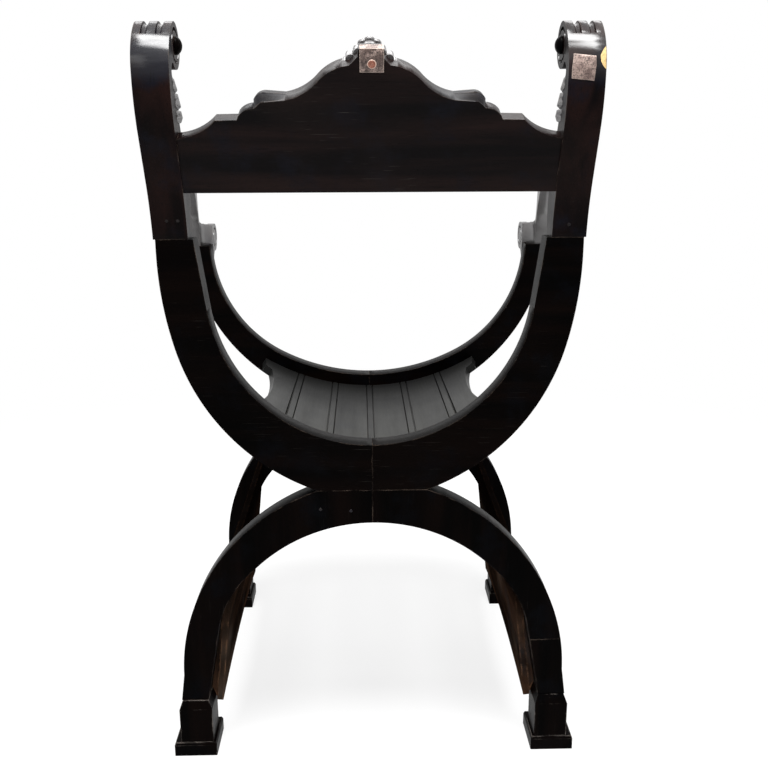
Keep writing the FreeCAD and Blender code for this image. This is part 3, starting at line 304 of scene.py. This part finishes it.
def copperMaterial(name, look):
    material = bpy.data.materials.new(name)
    shader = Shader(material)
    here = shader.wire("ShaderNodeTexCoord", {}, {}, "Object")
    facing = shader.wire("ShaderNodeNewGeometry", {}, {}, "Normal")
    clouds = shader.noise(here, allRound, scale=tarnish["clouds"], detail=6, roughness=0.7)
    spots = shader.noise(here, allRound, scale=tarnish["spots"], detail=4, roughness=0.75)
    hammering = shader.noise(here, allRound, scale=tarnish["hammering"], detail=2)
    colour = shader.mix(clouds.between(*tarnish["bright"]), look["dull"], look["bright"])
    colour = shader.mix(spots.between(*tarnish["spotted"]) * tarnish["spotShare"], colour, look["spot"])
    colour = shader.mix(clouds.between(*tarnish["green"]) * tarnish["greenShare"], colour, look["green"])
    if look["shaded"]:
        low, high, share = look["shaded"]
        shade = (1 - shader.part(here, "Z").between(low, high)) * share
        least = tarnish["undentedShade"]
        dented = least + (1 - least) * hammering.between(*tarnish["dented"])
        colour = shader.mix(shade * dented, colour, look["spot"])
    rim = shader.sharpness(facing, tarnish["rimWidth"]).between(*tarnish["rim"])
    colour = shader.mix(rim * tarnish["rimShare"], colour, look["rim"])
    height = hammering * tarnish["hammeringHeight"] + spots * tarnish["spotHeight"]
    shader.finish({
        "Base Color": colour, "Metallic": look["metallic"],
        "Roughness": look["roughness"] + (spots - noiseMean) * tarnish["rough"],
        "Normal": shader.relief(height, tarnish["relief"])})
    return material


postCopper = {
    "dull": (0.110, 0.073, 0.064), "bright": (0.255, 0.188, 0.162), "spot": (0.028, 0.019, 0.017),
    "green": (0.200, 0.172, 0.105), "rim": (0.42, 0.34, 0.29),
    "shaded": None,                                  # darker low down: from, to, share
    "roughness": 0.50, "metallic": 0.45,
}
crestCopper = dict(
    postCopper, dull=(0.120, 0.080, 0.068), bright=(0.42, 0.315, 0.274), rim=(0.60, 0.49, 0.42),
    shaded=(0.894, 0.916, 0.8))
rivetCopper = {
    "dull": (0.24, 0.085, 0.055), "bright": (0.46, 0.22, 0.16), "spot": (0.12, 0.05, 0.035),
    "green": (0.38, 0.20, 0.15), "rim": (0.85, 0.66, 0.55), "shaded": None,
    "roughness": 0.36, "metallic": 0.7,
}
coppers = {"plate_rivet": copperMaterial("rivetCopper", rivetCopper),
           "crest_plate": copperMaterial("crestCopper", crestCopper),
           "post_plate": copperMaterial("postCopper", postCopper)}
print("copper made")


# Finishes of the frame's nodes

finishes = {                                         # first words of a node's name: wood, grain
    "front_arch": ("black", "Z"), "rear_arch": ("black", "Z"), "rear_leg": ("black", "Z"),
    "front_bow": ("black", "X"), "rear_bow": ("black", "X"), "crest_rail": ("crest", "X"),
    "crest_shell": ("carved", "Z"), "rear_post": ("post", "Z"), "post_bosses": ("black", "Z"),
    "arm_bosses": ("arm", "Y"), "arm_left": ("arm", "Y"), "arm_right": ("arm", "Y"),
    "seat_board": ("seat", "Y"), "seat_strip": ("seat", "Y"), "side_board": ("brown", "Y"),
    "front_seat_bearer": ("brown", "X"), "rear_seat_bearer": ("brown", "X"),
    "front_foot": ("foot", "Z"), "rear_foot": ("foot", "Z"),
    "front_plinth": ("foot", "Y"), "rear_plinth": ("foot", "Y"),
}
arrisLook = {
    "width": 0.0008, "segments": 2, "sharperThan": 38, "joinWithin": 0.00002,
    # first words of a node's name, and its own width
    "ownWidth": {"crest_shell": 0.0012, "crest_plate": 0.0003, "post_plate": 0.0003,
                 "post_bosses": 0.0006},
}


def finishOf(name):
    for word, copper in coppers.items():
        if word in name:
            return copper
    for start, wood in finishes.items():
        if name.startswith(start) and "dowel" not in name:
            return woodMaterials[wood]
    return woodMaterials["dowel", "X"]


def softenArrises(name, piece):
    weld = piece.modifiers.new("joinFacets", "WELD")
    weld.merge_threshold = arrisLook["joinWithin"]
    softener = piece.modifiers.new("softArris", "BEVEL")
    softener.width = arrisLook["width"]
    for start, width in arrisLook["ownWidth"].items():
        if name.startswith(start):
            softener.width = width
    softener.segments = arrisLook["segments"]
    softener.limit_method = "ANGLE"
    softener.angle_limit = math.radians(arrisLook["sharperThan"])
    softener.harden_normals = True


for name, piece in nodes.items():
    finish = finishOf(name)
    if not piece.material_slots:
        piece.data.materials.append(finish)
    for slot in piece.material_slots:
        slot.material = finish
    if "dowel" not in name and "seat_" not in name:
        softenArrises(name, piece)
print("nodes finished")


# Worked pieces: rings of points joined into a closed skin

def loft(name, rings, finish, smoothAngle):
    work = bmesh.new()
    rows = [[work.verts.new(point) for point in ring] for ring in rings]
    around = len(rows[0])
    for row, after in zip(rows, rows[1:]):
        for place in range(around):
            beyond = (place + 1) % around
            work.faces.new((row[place], row[beyond], after[beyond], after[place]))
    work.faces.new(rows[0][::-1])
    work.faces.new(rows[-1])
    bmesh.ops.recalc_face_normals(work, faces=work.faces)
    work.normal_update()
    for face in work.faces:
        face.smooth = True
    for edge in work.edges:
        edge.smooth = edge.calc_face_angle(0) <= math.radians(smoothAngle)
    data = bpy.data.meshes.new(name)
    work.to_mesh(data)
    work.free()
    data.materials.append(finish)
    piece = bpy.data.objects.new(name, data)
    bpy.context.scene.collection.objects.link(piece)
    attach(piece, "root")
    return piece


hands = (("Left", 1), ("Right", -1))                 # the sitter's left is +X


def blendOf(first, second, share):
    return first + (second - first) * share


def sharesOf(steps):                                 # from 0 to 1 in even steps, both ends too
    return [step / steps for step in range(steps + 1)]


def turnsOf(count):                                  # angles at even steps once round
    return [math.tau * step / count for step in range(count)]


def alongTable(table, place):                        # rows of place, value; straight between rows
    for (low, first), (high, second) in zip(table, table[1:]):
        if place <= high:
            return blendOf(first, second, max(0, (place - low) / (high - low)))
    return table[-1][1]


def hump(place, middle, width):                      # 1 at the middle, falling off on both sides
    return math.exp(-((place - middle) / width) ** 2)


def wave(turns):                                     # between 0 and 1, once for each turn
    return 0.5 + 0.5 * math.cos(math.tau * turns)


# Seat mouldings: the narrow strips, each a low bead with a quirk cut on both sides

moulding = {
    "count": 5, "pitch": 0.0585, "rear": 0.1912, "front": -0.2198,
    "rearCentre": 0.67763, "rearRadius": 0.26362, "frontCentre": 0.75101, "frontRadius": 0.34001,
    "thick": 0.0118, "quirk": 0.0030, "bead": 0.0009,
    # across the strip: place, and depth of the cut in quirks; below 0, height in beads
    "profile": ((-0.0060, 1), (-0.0049, 1), (-0.0045, 0.2), (-0.0038, -0.2), (-0.0020, -0.3),
                (0, -0.3), (0.0020, -0.3), (0.0038, -0.2), (0.0045, 0.2), (0.0049, 1), (0.0060, 1)),
    # along the strip: the cut runs out before the rear end
    "cutDepth": ((0.0, 0.0), (0.012, 0.0), (0.022, 1.0), (1.0, 1.0)),
    "stations": (0, 0.012, 0.017, 0.022, 0.2, 0.4, 0.6, 0.8, 1),
    "smoothAngle": 25,
}


def seatTop(across, share):
    rear = moulding["rearCentre"] - math.sqrt(moulding["rearRadius"] ** 2 - across ** 2)
    front = moulding["frontCentre"] - math.sqrt(moulding["frontRadius"] ** 2 - across ** 2)
    return blendOf(rear, front, share)


for number in range(moulding["count"]):
    middle = (number - (moulding["count"] - 1) / 2) * moulding["pitch"]
    rings = []
    for share in moulding["stations"]:
        cut = alongTable(moulding["cutDepth"], share)
        back = blendOf(moulding["rear"], moulding["front"], share)
        ring = []
        for offset, depth in moulding["profile"]:
            across = middle + offset
            sunk = depth * (moulding["quirk"] if depth > 0 else moulding["bead"]) * cut
            ring.append((across, back, seatTop(across, share) - sunk))
        for offset in (moulding["profile"][-1][0], moulding["profile"][0][0]):
            across = middle + offset
            ring.append((across, back, seatTop(across, share) - moulding["thick"]))
        rings.append(ring)
    strip = loft("seatMoulding" + str(number + 1), rings, woodMaterials["seat", "Y"],
                 moulding["smoothAngle"])
    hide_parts("seat_strip_" + str(number + 1))
print("seat mouldings made")


# Crest: the scroll ends are worked back from the border to the rear arris

crestLook = {"lean": math.radians(21.8), "footBack": 0.2351565, "footHeight": 0.7614,
             "height": 0.166, "span": 0.21996}


def onCrest(across, along, ahead):                   # along the rail, up its lean, before its rear
    lean = crestLook["lean"]
    return (across,
            crestLook["footBack"] + along * math.sin(lean) - ahead * math.cos(lean),
            crestLook["footHeight"] + along * math.cos(lean) + ahead * math.sin(lean))


def spread(points, count):                           # points at even steps along a run of straights
    lengths = [math.dist(a, b) for a, b in zip(points, points[1:])]
    tolerance = 1e-9
    found = []
    for step in range(count):
        left = sum(lengths) * step / (count - 1)
        for (a, b), length in zip(zip(points, points[1:]), lengths):
            if left <= length + tolerance:
                found.append(tuple(blendOf(p, q, left / length) for p, q in zip(a, b)))
                break
            left -= length
    return found


voluteLook = {
    "steps": 18, "rearAhead": 0.0016, "frontAhead": 0.0212, "heelAhead": 0.0056,
    # shares of the crest's span and height, from the tip of a scroll inwards
    "rear": ((0.593, 0.603), (0.578, 0.624), (0.560, 0.640), (0.536, 0.651), (0.500, 0.656),
             (0.432, 0.662)),
    "front": ((0.599, 0.606), (0.5985, 0.632), (0.588, 0.652), (0.566, 0.668), (0.536, 0.6735),
              (0.500, 0.6695), (0.432, 0.6625)),
    "hollow": (0.5, 0.62), "hollowAhead": 0.5, "sunk": (0.012, 0.02), "smoothAngle": 50,
}


def onVolute(point, side, ahead):
    return onCrest(point[0] * side * crestLook["span"], point[1] * crestLook["height"], ahead)


for hand, side in hands:
    rear = spread(voluteLook["rear"], voluteLook["steps"])
    front = spread(voluteLook["front"], voluteLook["steps"])
    rearAhead, frontAhead = voluteLook["rearAhead"], voluteLook["frontAhead"]
    halfAhead = blendOf(rearAhead, frontAhead, voluteLook["hollowAhead"])
    rings = []
    for low, high in zip(rear, front):
        middle = [blendOf(p, q, share) for p, q, share in zip(low, high, voluteLook["hollow"])]
        below = [p - sunk for p, sunk in zip(low, voluteLook["sunk"])]
        rings.append([onVolute(low, side, rearAhead), onVolute(middle, side, halfAhead),
                      onVolute(high, side, frontAhead), onVolute(below, side, frontAhead),
                      onVolute(below, side, voluteLook["heelAhead"])])
    loft("crestVolute" + hand, rings, woodMaterials["crest", "X"],
         voluteLook["smoothAngle"])
print("crest volutes made")


# Leaves carved on the front of the posts, wrapping both front arrises

leafLook = {
    "middle": 0.2410, "steps": 44, "across": 26, "smoothAngle": 60,
    # height up the post, and where the post's front face stands there
    "front": ((0.8370, 0.2329), (0.8500, 0.2381), (0.8600, 0.2418), (0.8700, 0.2458),
              (0.8770, 0.2510), (0.8850, 0.2573), (0.8950, 0.2649), (0.8990, 0.2680)),
    # share of the leaf's length, and half its width there
    "half": ((0.0, 0.0130), (0.07, 0.0235), (0.16, 0.0262), (0.30, 0.0256), (0.48, 0.0246),
             (0.66, 0.0238), (0.82, 0.0230), (0.94, 0.0160), (1.0, 0.0040)),
    # lobes along its edge, with the notch between two of them
    "lobes": 3.5, "notch": 0.16, "notchPlace": 0.04, "notchWidth": 0.10, "lobeTaper": 0.05,
    # its face: body, slanting veins, middle rib and a trough on each side of that
    "thick": 0.0052, "body": 0.62, "fallPower": 3, "vein": 0.28, "veinSlant": 0.75,
    "rib": 0.22, "ribWidth": 0.09, "trough": 0.12, "troughPlace": 0.2, "troughWidth": 0.06,
    "thinnest": 0.06, "endRounding": (0.06, 0.98), "endThick": 0.35,
    # its edge: rim, groove with small veins, and how far behind the face it meets the post
    "rim": 0.985, "rimBehind": 0.0020, "root": 0.9, "postHalf": 0.0204, "meets": (0.0140, 0.0080),
    "edgeVein": 0.0022, "edgeVeinsPerLobe": 2, "edgeVeinStart": 0.3, "edgeVeinPower": 3,
}


def leafHalf(share):
    swing = (share * leafLook["lobes"]) % 1.0
    notch = leafLook["notch"] * hump(swing, leafLook["notchPlace"], leafLook["notchWidth"])
    return alongTable(leafLook["half"], share) * (1 - notch - leafLook["lobeTaper"] * swing)


def leafProud(share, across):                        # how far the leaf stands before the post
    aside = abs(across)
    veins = wave(share * leafLook["lobes"] - aside * leafLook["veinSlant"])
    body = ((1 - aside ** leafLook["fallPower"]) * (leafLook["body"] + leafLook["vein"] * veins)
            + leafLook["rib"] * hump(across, 0, leafLook["ribWidth"])
            - leafLook["trough"] * hump(aside, leafLook["troughPlace"], leafLook["troughWidth"]))
    ends = math.sqrt(math.sin(math.pi * blendOf(*leafLook["endRounding"], share)))
    return leafLook["thick"] * max(leafLook["thinnest"], body) * blendOf(leafLook["endThick"], 1, ends)


def leafEdge(share, half):                           # across and behind the face, rim to post
    rim, behind = half * leafLook["rim"], blendOf(*leafLook["meets"], share)
    inner = min(half * leafLook["root"], leafLook["postHalf"])
    vein = wave(share * leafLook["lobes"] * leafLook["edgeVeinsPerLobe"] - leafLook["edgeVeinStart"])
    groove = blendOf(rim, inner, 0.5) - leafLook["edgeVein"] * vein ** leafLook["edgeVeinPower"]
    return ((rim, leafLook["rimBehind"]), (groove, blendOf(leafLook["rimBehind"], behind, 0.5)),
            (inner, behind))


for hand, side in hands:
    rings = []
    for share in sharesOf(leafLook["steps"]):
        height = blendOf(leafLook["front"][0][0], leafLook["front"][-1][0], share)
        face = alongTable(leafLook["front"], height)
        half = leafHalf(share)
        edge = leafEdge(share, half)
        section = [(across * half, -leafProud(share, across)) for across in
                   (blendOf(-1, 1, place) for place in sharesOf(leafLook["across"]))]
        section += edge
        section.append((0, edge[-1][1]))
        section += [(-across, back) for across, back in edge[::-1]]
        rings.append([((leafLook["middle"] + across) * side, face + back, height)
                      for across, back in section])
    loft("postLeaf" + hand, rings, woodMaterials["carved", "Z"], leafLook["smoothAngle"])
print("leaves carved")


# Fan on the crest: round gadroons over the plain lobes

fanLook = {
    "foot": 0.1415, "ahead": 0.0370, "rise": 0.0042, "start": 0.004,
    "steps": 16, "around": 14, "smoothAngle": 60,
    # each gadroon: how far it turns in degrees, its length and half its width
    "gadroons": ((0.0, 0.0282, 0.0076), (21.0, 0.0267, 0.0068), (-21.0, 0.0267, 0.0068),
                 (43.0, 0.0245, 0.0064), (-43.0, 0.0245, 0.0064), (68.0, 0.0252, 0.0058),
                 (-68.0, 0.0252, 0.0058)),
    # shares of its width and height at the root, and where its tip starts to round off
    "rootWidth": 0.22, "widening": 0.8, "rootRise": 0.4, "tipFrom": 0.72, "tipOver": 0.285,
    "tipLeast": 0.0004, "flatBelow": 0.6,
}


def carveGadroon(number, turn, length, half):
    sine, cosine = math.sin(math.radians(turn)), math.cos(math.radians(turn))
    rings = []
    for share in sharesOf(fanLook["steps"]):
        out = blendOf(fanLook["start"], length, share)
        tip = max(0, (share - fanLook["tipFrom"]) / fanLook["tipOver"])
        width = (half * blendOf(fanLook["rootWidth"], 1, share ** fanLook["widening"])
                 * math.sqrt(max(fanLook["tipLeast"], 1 - tip ** 2)))
        rise = (fanLook["rise"] * blendOf(fanLook["rootRise"], 1, share)
                * min(1, width / (half * fanLook["flatBelow"])))
        ring = []
        for swing in turnsOf(fanLook["around"]):
            aside = width * math.cos(swing)
            ring.append(onCrest(out * sine + aside * cosine,
                                fanLook["foot"] + out * cosine - aside * sine,
                                fanLook["ahead"] + rise * math.sin(swing)))
        rings.append(ring)
    loft("fanFinger" + str(number), rings, woodMaterials["carved", "Z"],
         fanLook["smoothAngle"])


for number, (turn, length, half) in enumerate(fanLook["gadroons"], 1):
    carveGadroon(number, turn, length, half)
print("fan carved")


# Pegs: wooden heads on the rear of posts and arch

pegLook = {
    "around": 20, "smoothAngle": 50,
    # radius, and how far it stands out of the face behind it
    "profile": ((0.0021, -0.004), (0.0021, 0.0), (0.0019, 0.0003), (0.0012, 0.0005), (0.0003, 0.0006)),
    # name, place across, height, and where the face stands
    "heads": (("postPegLeftOuter", 0.2433, 0.7290, 0.2273), ("postPegLeftInner", 0.2300, 0.7290, 0.2273),
              ("postPegRight", -0.2397, 0.7220, 0.2258), ("archPegOuter", 0.0678, 0.3573, 0.2232),
              ("archPegInner", 0.0282, 0.3547, 0.2232)),
}

for name, across, height, face in pegLook["heads"]:
    rings = [[(across + radius * math.cos(turn), face + rise, height - radius * math.sin(turn))
              for turn in turnsOf(pegLook["around"])] for radius, rise in pegLook["profile"]]
    loft(name, rings, woodMaterials["peg", "X"], pegLook["smoothAngle"])
print("pegs made")


# Cleats: upright battens in the corners between the legs and the side boards

cleatLook = {
    "low": 0.0610, "high": 0.2700, "steps": 32, "thick": 0.0250, "smoothAngle": 30,
    "behindLeg": 0.0080, "offFoot": 0.0003, "intoBoard": 0.0008, "leastOverlap": -0.0002,
    "chamfer": 0.0020, "chamferShare": 0.6,
    # lines that find the leg, the foot and the board: where they start across, the lowest height
    # at which the leg is looked for, and how far inwards of the leg's face the others run
    "inside": 0.10, "outside": 0.35, "legFoot": 0.0840, "footInwards": 0.0005, "boardInwards": 0.012,
    # end, its leg and foot, the middle of the leg, its inner face, and which way is inwards
    "ends": (("Rear", "rear_arch_left", "rear_foot_left", 0.2050, 0.1911, -1),
             ("Front", "front_arch_left", "front_foot_left", -0.2350, -0.2197, 1)),
}


def faceAt(piece, start, towards, axis):             # where a line from start meets a piece
    hit, place, _, _ = piece.ray_cast(Vector(start), Vector(towards))
    return getattr(place, axis) if hit else None


def cleatOutline(leg, foot, legMiddle, legFace, inwards):
    inside, outside = cleatLook["inside"], cleatLook["outside"]
    footBack = legFace + inwards * cleatLook["footInwards"]
    boardBack = legFace + inwards * cleatLook["boardInwards"]
    outline = []
    for share in sharesOf(cleatLook["steps"]):
        height = blendOf(cleatLook["low"], cleatLook["high"], share)
        legHeight = max(height, cleatLook["legFoot"])
        legInner = faceAt(nodes[leg], (inside, legMiddle, legHeight), (1, 0, 0), "x")
        footInner = faceAt(nodes[foot], (inside, footBack, height), (1, 0, 0), "x")
        boardOuter = faceAt(nodes["side_board_left"], (outside, boardBack, height), (-1, 0, 0), "x")
        if legInner is None or boardOuter is None:
            continue
        outer = legInner + cleatLook["behindLeg"]
        if footInner is not None:
            outer = min(outer, footInner - cleatLook["offFoot"])
        if outer - boardOuter > cleatLook["leastOverlap"]:
            outline.append((height, boardOuter - cleatLook["intoBoard"], outer))
    return outline


for end, leg, foot, legMiddle, legFace, inwards in cleatLook["ends"]:
    outline = cleatOutline(leg, foot, legMiddle, legFace, inwards)
    near, far = legFace, legFace + inwards * cleatLook["thick"]
    for hand, side in hands:
        rings = []
        for height, inner, outer in outline:
            cut = min(cleatLook["chamfer"], (outer - inner) * cleatLook["chamferShare"])
            section = ((inner, near), (outer, near), (outer, far - inwards * cut),
                       (outer - cut, far), (inner, far))
            rings.append([(across * side, back, height) for across, back in section])
        loft("boardCleat" + end + hand, rings, woodMaterials["brown", "Z"],
             cleatLook["smoothAngle"])
print("cleats made")


# Chip: a knock on the outer rear arris of the right post has laid its pale wood bare

chipLook = {
    "low": 0.8960, "high": 0.9200, "steps": 14, "arris": -0.2620, "seed": 11, "smoothAngle": 40,
    "across": 0.0072, "round": 0.0050, "ragged": (0.86, 1.0), "leastSwell": 0.12, "swelling": 0.7,
    "proud": 0.0002, "inside": 0.0020, "probeAside": 0.004, "probeFrom": 0.40,
    # the worn arris: where it leaves the rear face, its middle, and where it meets the side
    "wornFrom": 0.0007, "wornMiddle": (-0.0001, -0.0004), "wornTo": -0.0010,
}
jitter = random.Random(chipLook["seed"])
edge, proud, inside = chipLook["arris"], chipLook["proud"], chipLook["inside"]
rings = []
for share in sharesOf(chipLook["steps"]):
    height = blendOf(chipLook["low"], chipLook["high"], share)
    swell = max(chipLook["leastSwell"], math.sin(math.pi * share) ** chipLook["swelling"])
    swell = swell * jitter.uniform(*chipLook["ragged"])
    rear = faceAt(nodes["rear_post_right"], (edge + chipLook["probeAside"], chipLook["probeFrom"], height),
                  (0, -1, 0), "y")
    across, wrap = chipLook["across"] * swell, chipLook["round"] * swell
    section = ((across, proud / 2), (chipLook["wornFrom"], proud), chipLook["wornMiddle"],
               (-proud, chipLook["wornTo"]), (-proud / 2, -wrap), (inside, -wrap), (across, -inside))
    rings.append([(edge + aside, rear + back, height) for aside, back in section])
loft("postChip", rings, woodMaterials["bare", "Z"], chipLook["smoothAngle"])
print("chip made")


# Floor, light and camera

stageLook = {
    "floorHalf": 9.0, "floorSides": 64, "floorWhite": (0.86, 0.86, 0.86),
    "shadowShare": 0.20, "shadowFade": (0.7, 1.9), "white": (1, 1, 1), "ambient": 0.42,
    "aimedAt": (0, 0, 0.5),
    # name, place, width, depth, watts
    "softboxes": (("overhead", (0.0, 0.9, 2.9), 2.5, 1.1, 197),
                  ("front", (0.0, -2.3, 2.9), 2.6, 1.4, 40),
                  ("fill", (1.8, 2.8, 2.0), 1.2, 1.2, 7)),
}
cameraLook = {
    "place": (0.0109, 1.35716, 0.811), "pitch": 0.2473, "yaw": -0.0232, "roll": -0.0042,
    "focal": 930.6, "picture": 768, "sensor": 36.0,      # focal length and picture in pixels
}


def seenDirectly(shader):
    path = shader.node("ShaderNodeLightPath", {}, {})
    camera, glossy, through = (Wire(shader, path.outputs["Is " + ray + " Ray"])
                               for ray in ("Camera", "Glossy", "Transmission"))
    return camera.maths("MAXIMUM", camera.maths("MAXIMUM", camera, glossy), through)


def makeFloor():
    work = bmesh.new()
    half = stageLook["floorHalf"]
    work.faces.new([work.verts.new((half * math.cos(turn), half * math.sin(turn), 0))
                    for turn in turnsOf(stageLook["floorSides"])])
    data = bpy.data.meshes.new("floor")
    work.to_mesh(data)
    work.free()
    floor = bpy.data.objects.new("floor", data)
    bpy.context.scene.collection.objects.link(floor)
    material = bpy.data.materials.new("paleFloor")
    shader = Shader(material)
    paint = shader.wire("ShaderNodeBsdfDiffuse", {}, {"Color": stageLook["floorWhite"]})
    glow = shader.wire("ShaderNodeEmission", {}, {"Color": stageLook["white"], "Strength": 1})
    here = shader.wire("ShaderNodeTexCoord", {}, {}, "Object")
    far = shader.wire("ShaderNodeVectorMath", {"operation": "LENGTH"}, {0: here}, "Value")
    shadow = (1 - far.between(*stageLook["shadowFade"])) * stageLook["shadowShare"]
    mixed = shader.wire("ShaderNodeMixShader", {},
                        {0: seenDirectly(shader) * (1 - shadow), 1: paint, 2: glow})
    shader.node("ShaderNodeOutputMaterial", {}, {"Surface": mixed})
    data.materials.append(material)


def makeWorld():
    world = bpy.data.worlds.new("studio")
    bpy.context.scene.world = world
    shader = Shader(world)
    ambient = stageLook["ambient"]
    strength = ambient + seenDirectly(shader) * (1 - ambient)
    glow = shader.wire("ShaderNodeBackground", {}, {"Color": stageLook["white"], "Strength": strength})
    shader.node("ShaderNodeOutputWorld", {}, {"Surface": glow})


def makeSoftbox(name, place, width, depth, watts):
    lamp = bpy.data.lights.new(name, "AREA")
    lamp.shape = "RECTANGLE"
    lamp.size = width
    lamp.size_y = depth
    lamp.energy = watts
    box = bpy.data.objects.new(name, lamp)
    box.location = place
    aim = Vector(stageLook["aimedAt"]) - Vector(place)
    box.rotation_euler = aim.to_track_quat("-Z", "Y").to_euler()
    bpy.context.scene.collection.objects.link(box)


def makeCamera():
    pitch, yaw, roll = cameraLook["pitch"], cameraLook["yaw"], cameraLook["roll"]
    ahead = Vector((math.sin(yaw) * math.cos(pitch), -math.cos(yaw) * math.cos(pitch), -math.sin(pitch)))
    level = Vector((-math.cos(yaw), -math.sin(yaw), 0))
    upright = level.cross(ahead)
    right = level * math.cos(roll) + upright * math.sin(roll)
    up = upright * math.cos(roll) - level * math.sin(roll)
    lens = bpy.data.cameras.new("camera")
    lens.sensor_fit = "HORIZONTAL"
    lens.sensor_width = cameraLook["sensor"]
    lens.lens = cameraLook["focal"] / cameraLook["picture"] * cameraLook["sensor"]
    camera = bpy.data.objects.new("camera", lens)
    turned = Matrix((right, up, -ahead)).transposed().to_4x4()
    camera.matrix_world = Matrix.Translation(cameraLook["place"]) @ turned
    bpy.context.scene.collection.objects.link(camera)
    bpy.context.scene.camera = camera


makeFloor()
makeWorld()
for softbox in stageLook["softboxes"]:
    makeSoftbox(*softbox)
makeCamera()
bpy.context.scene.view_settings.view_transform = "Standard"
print("stage set")
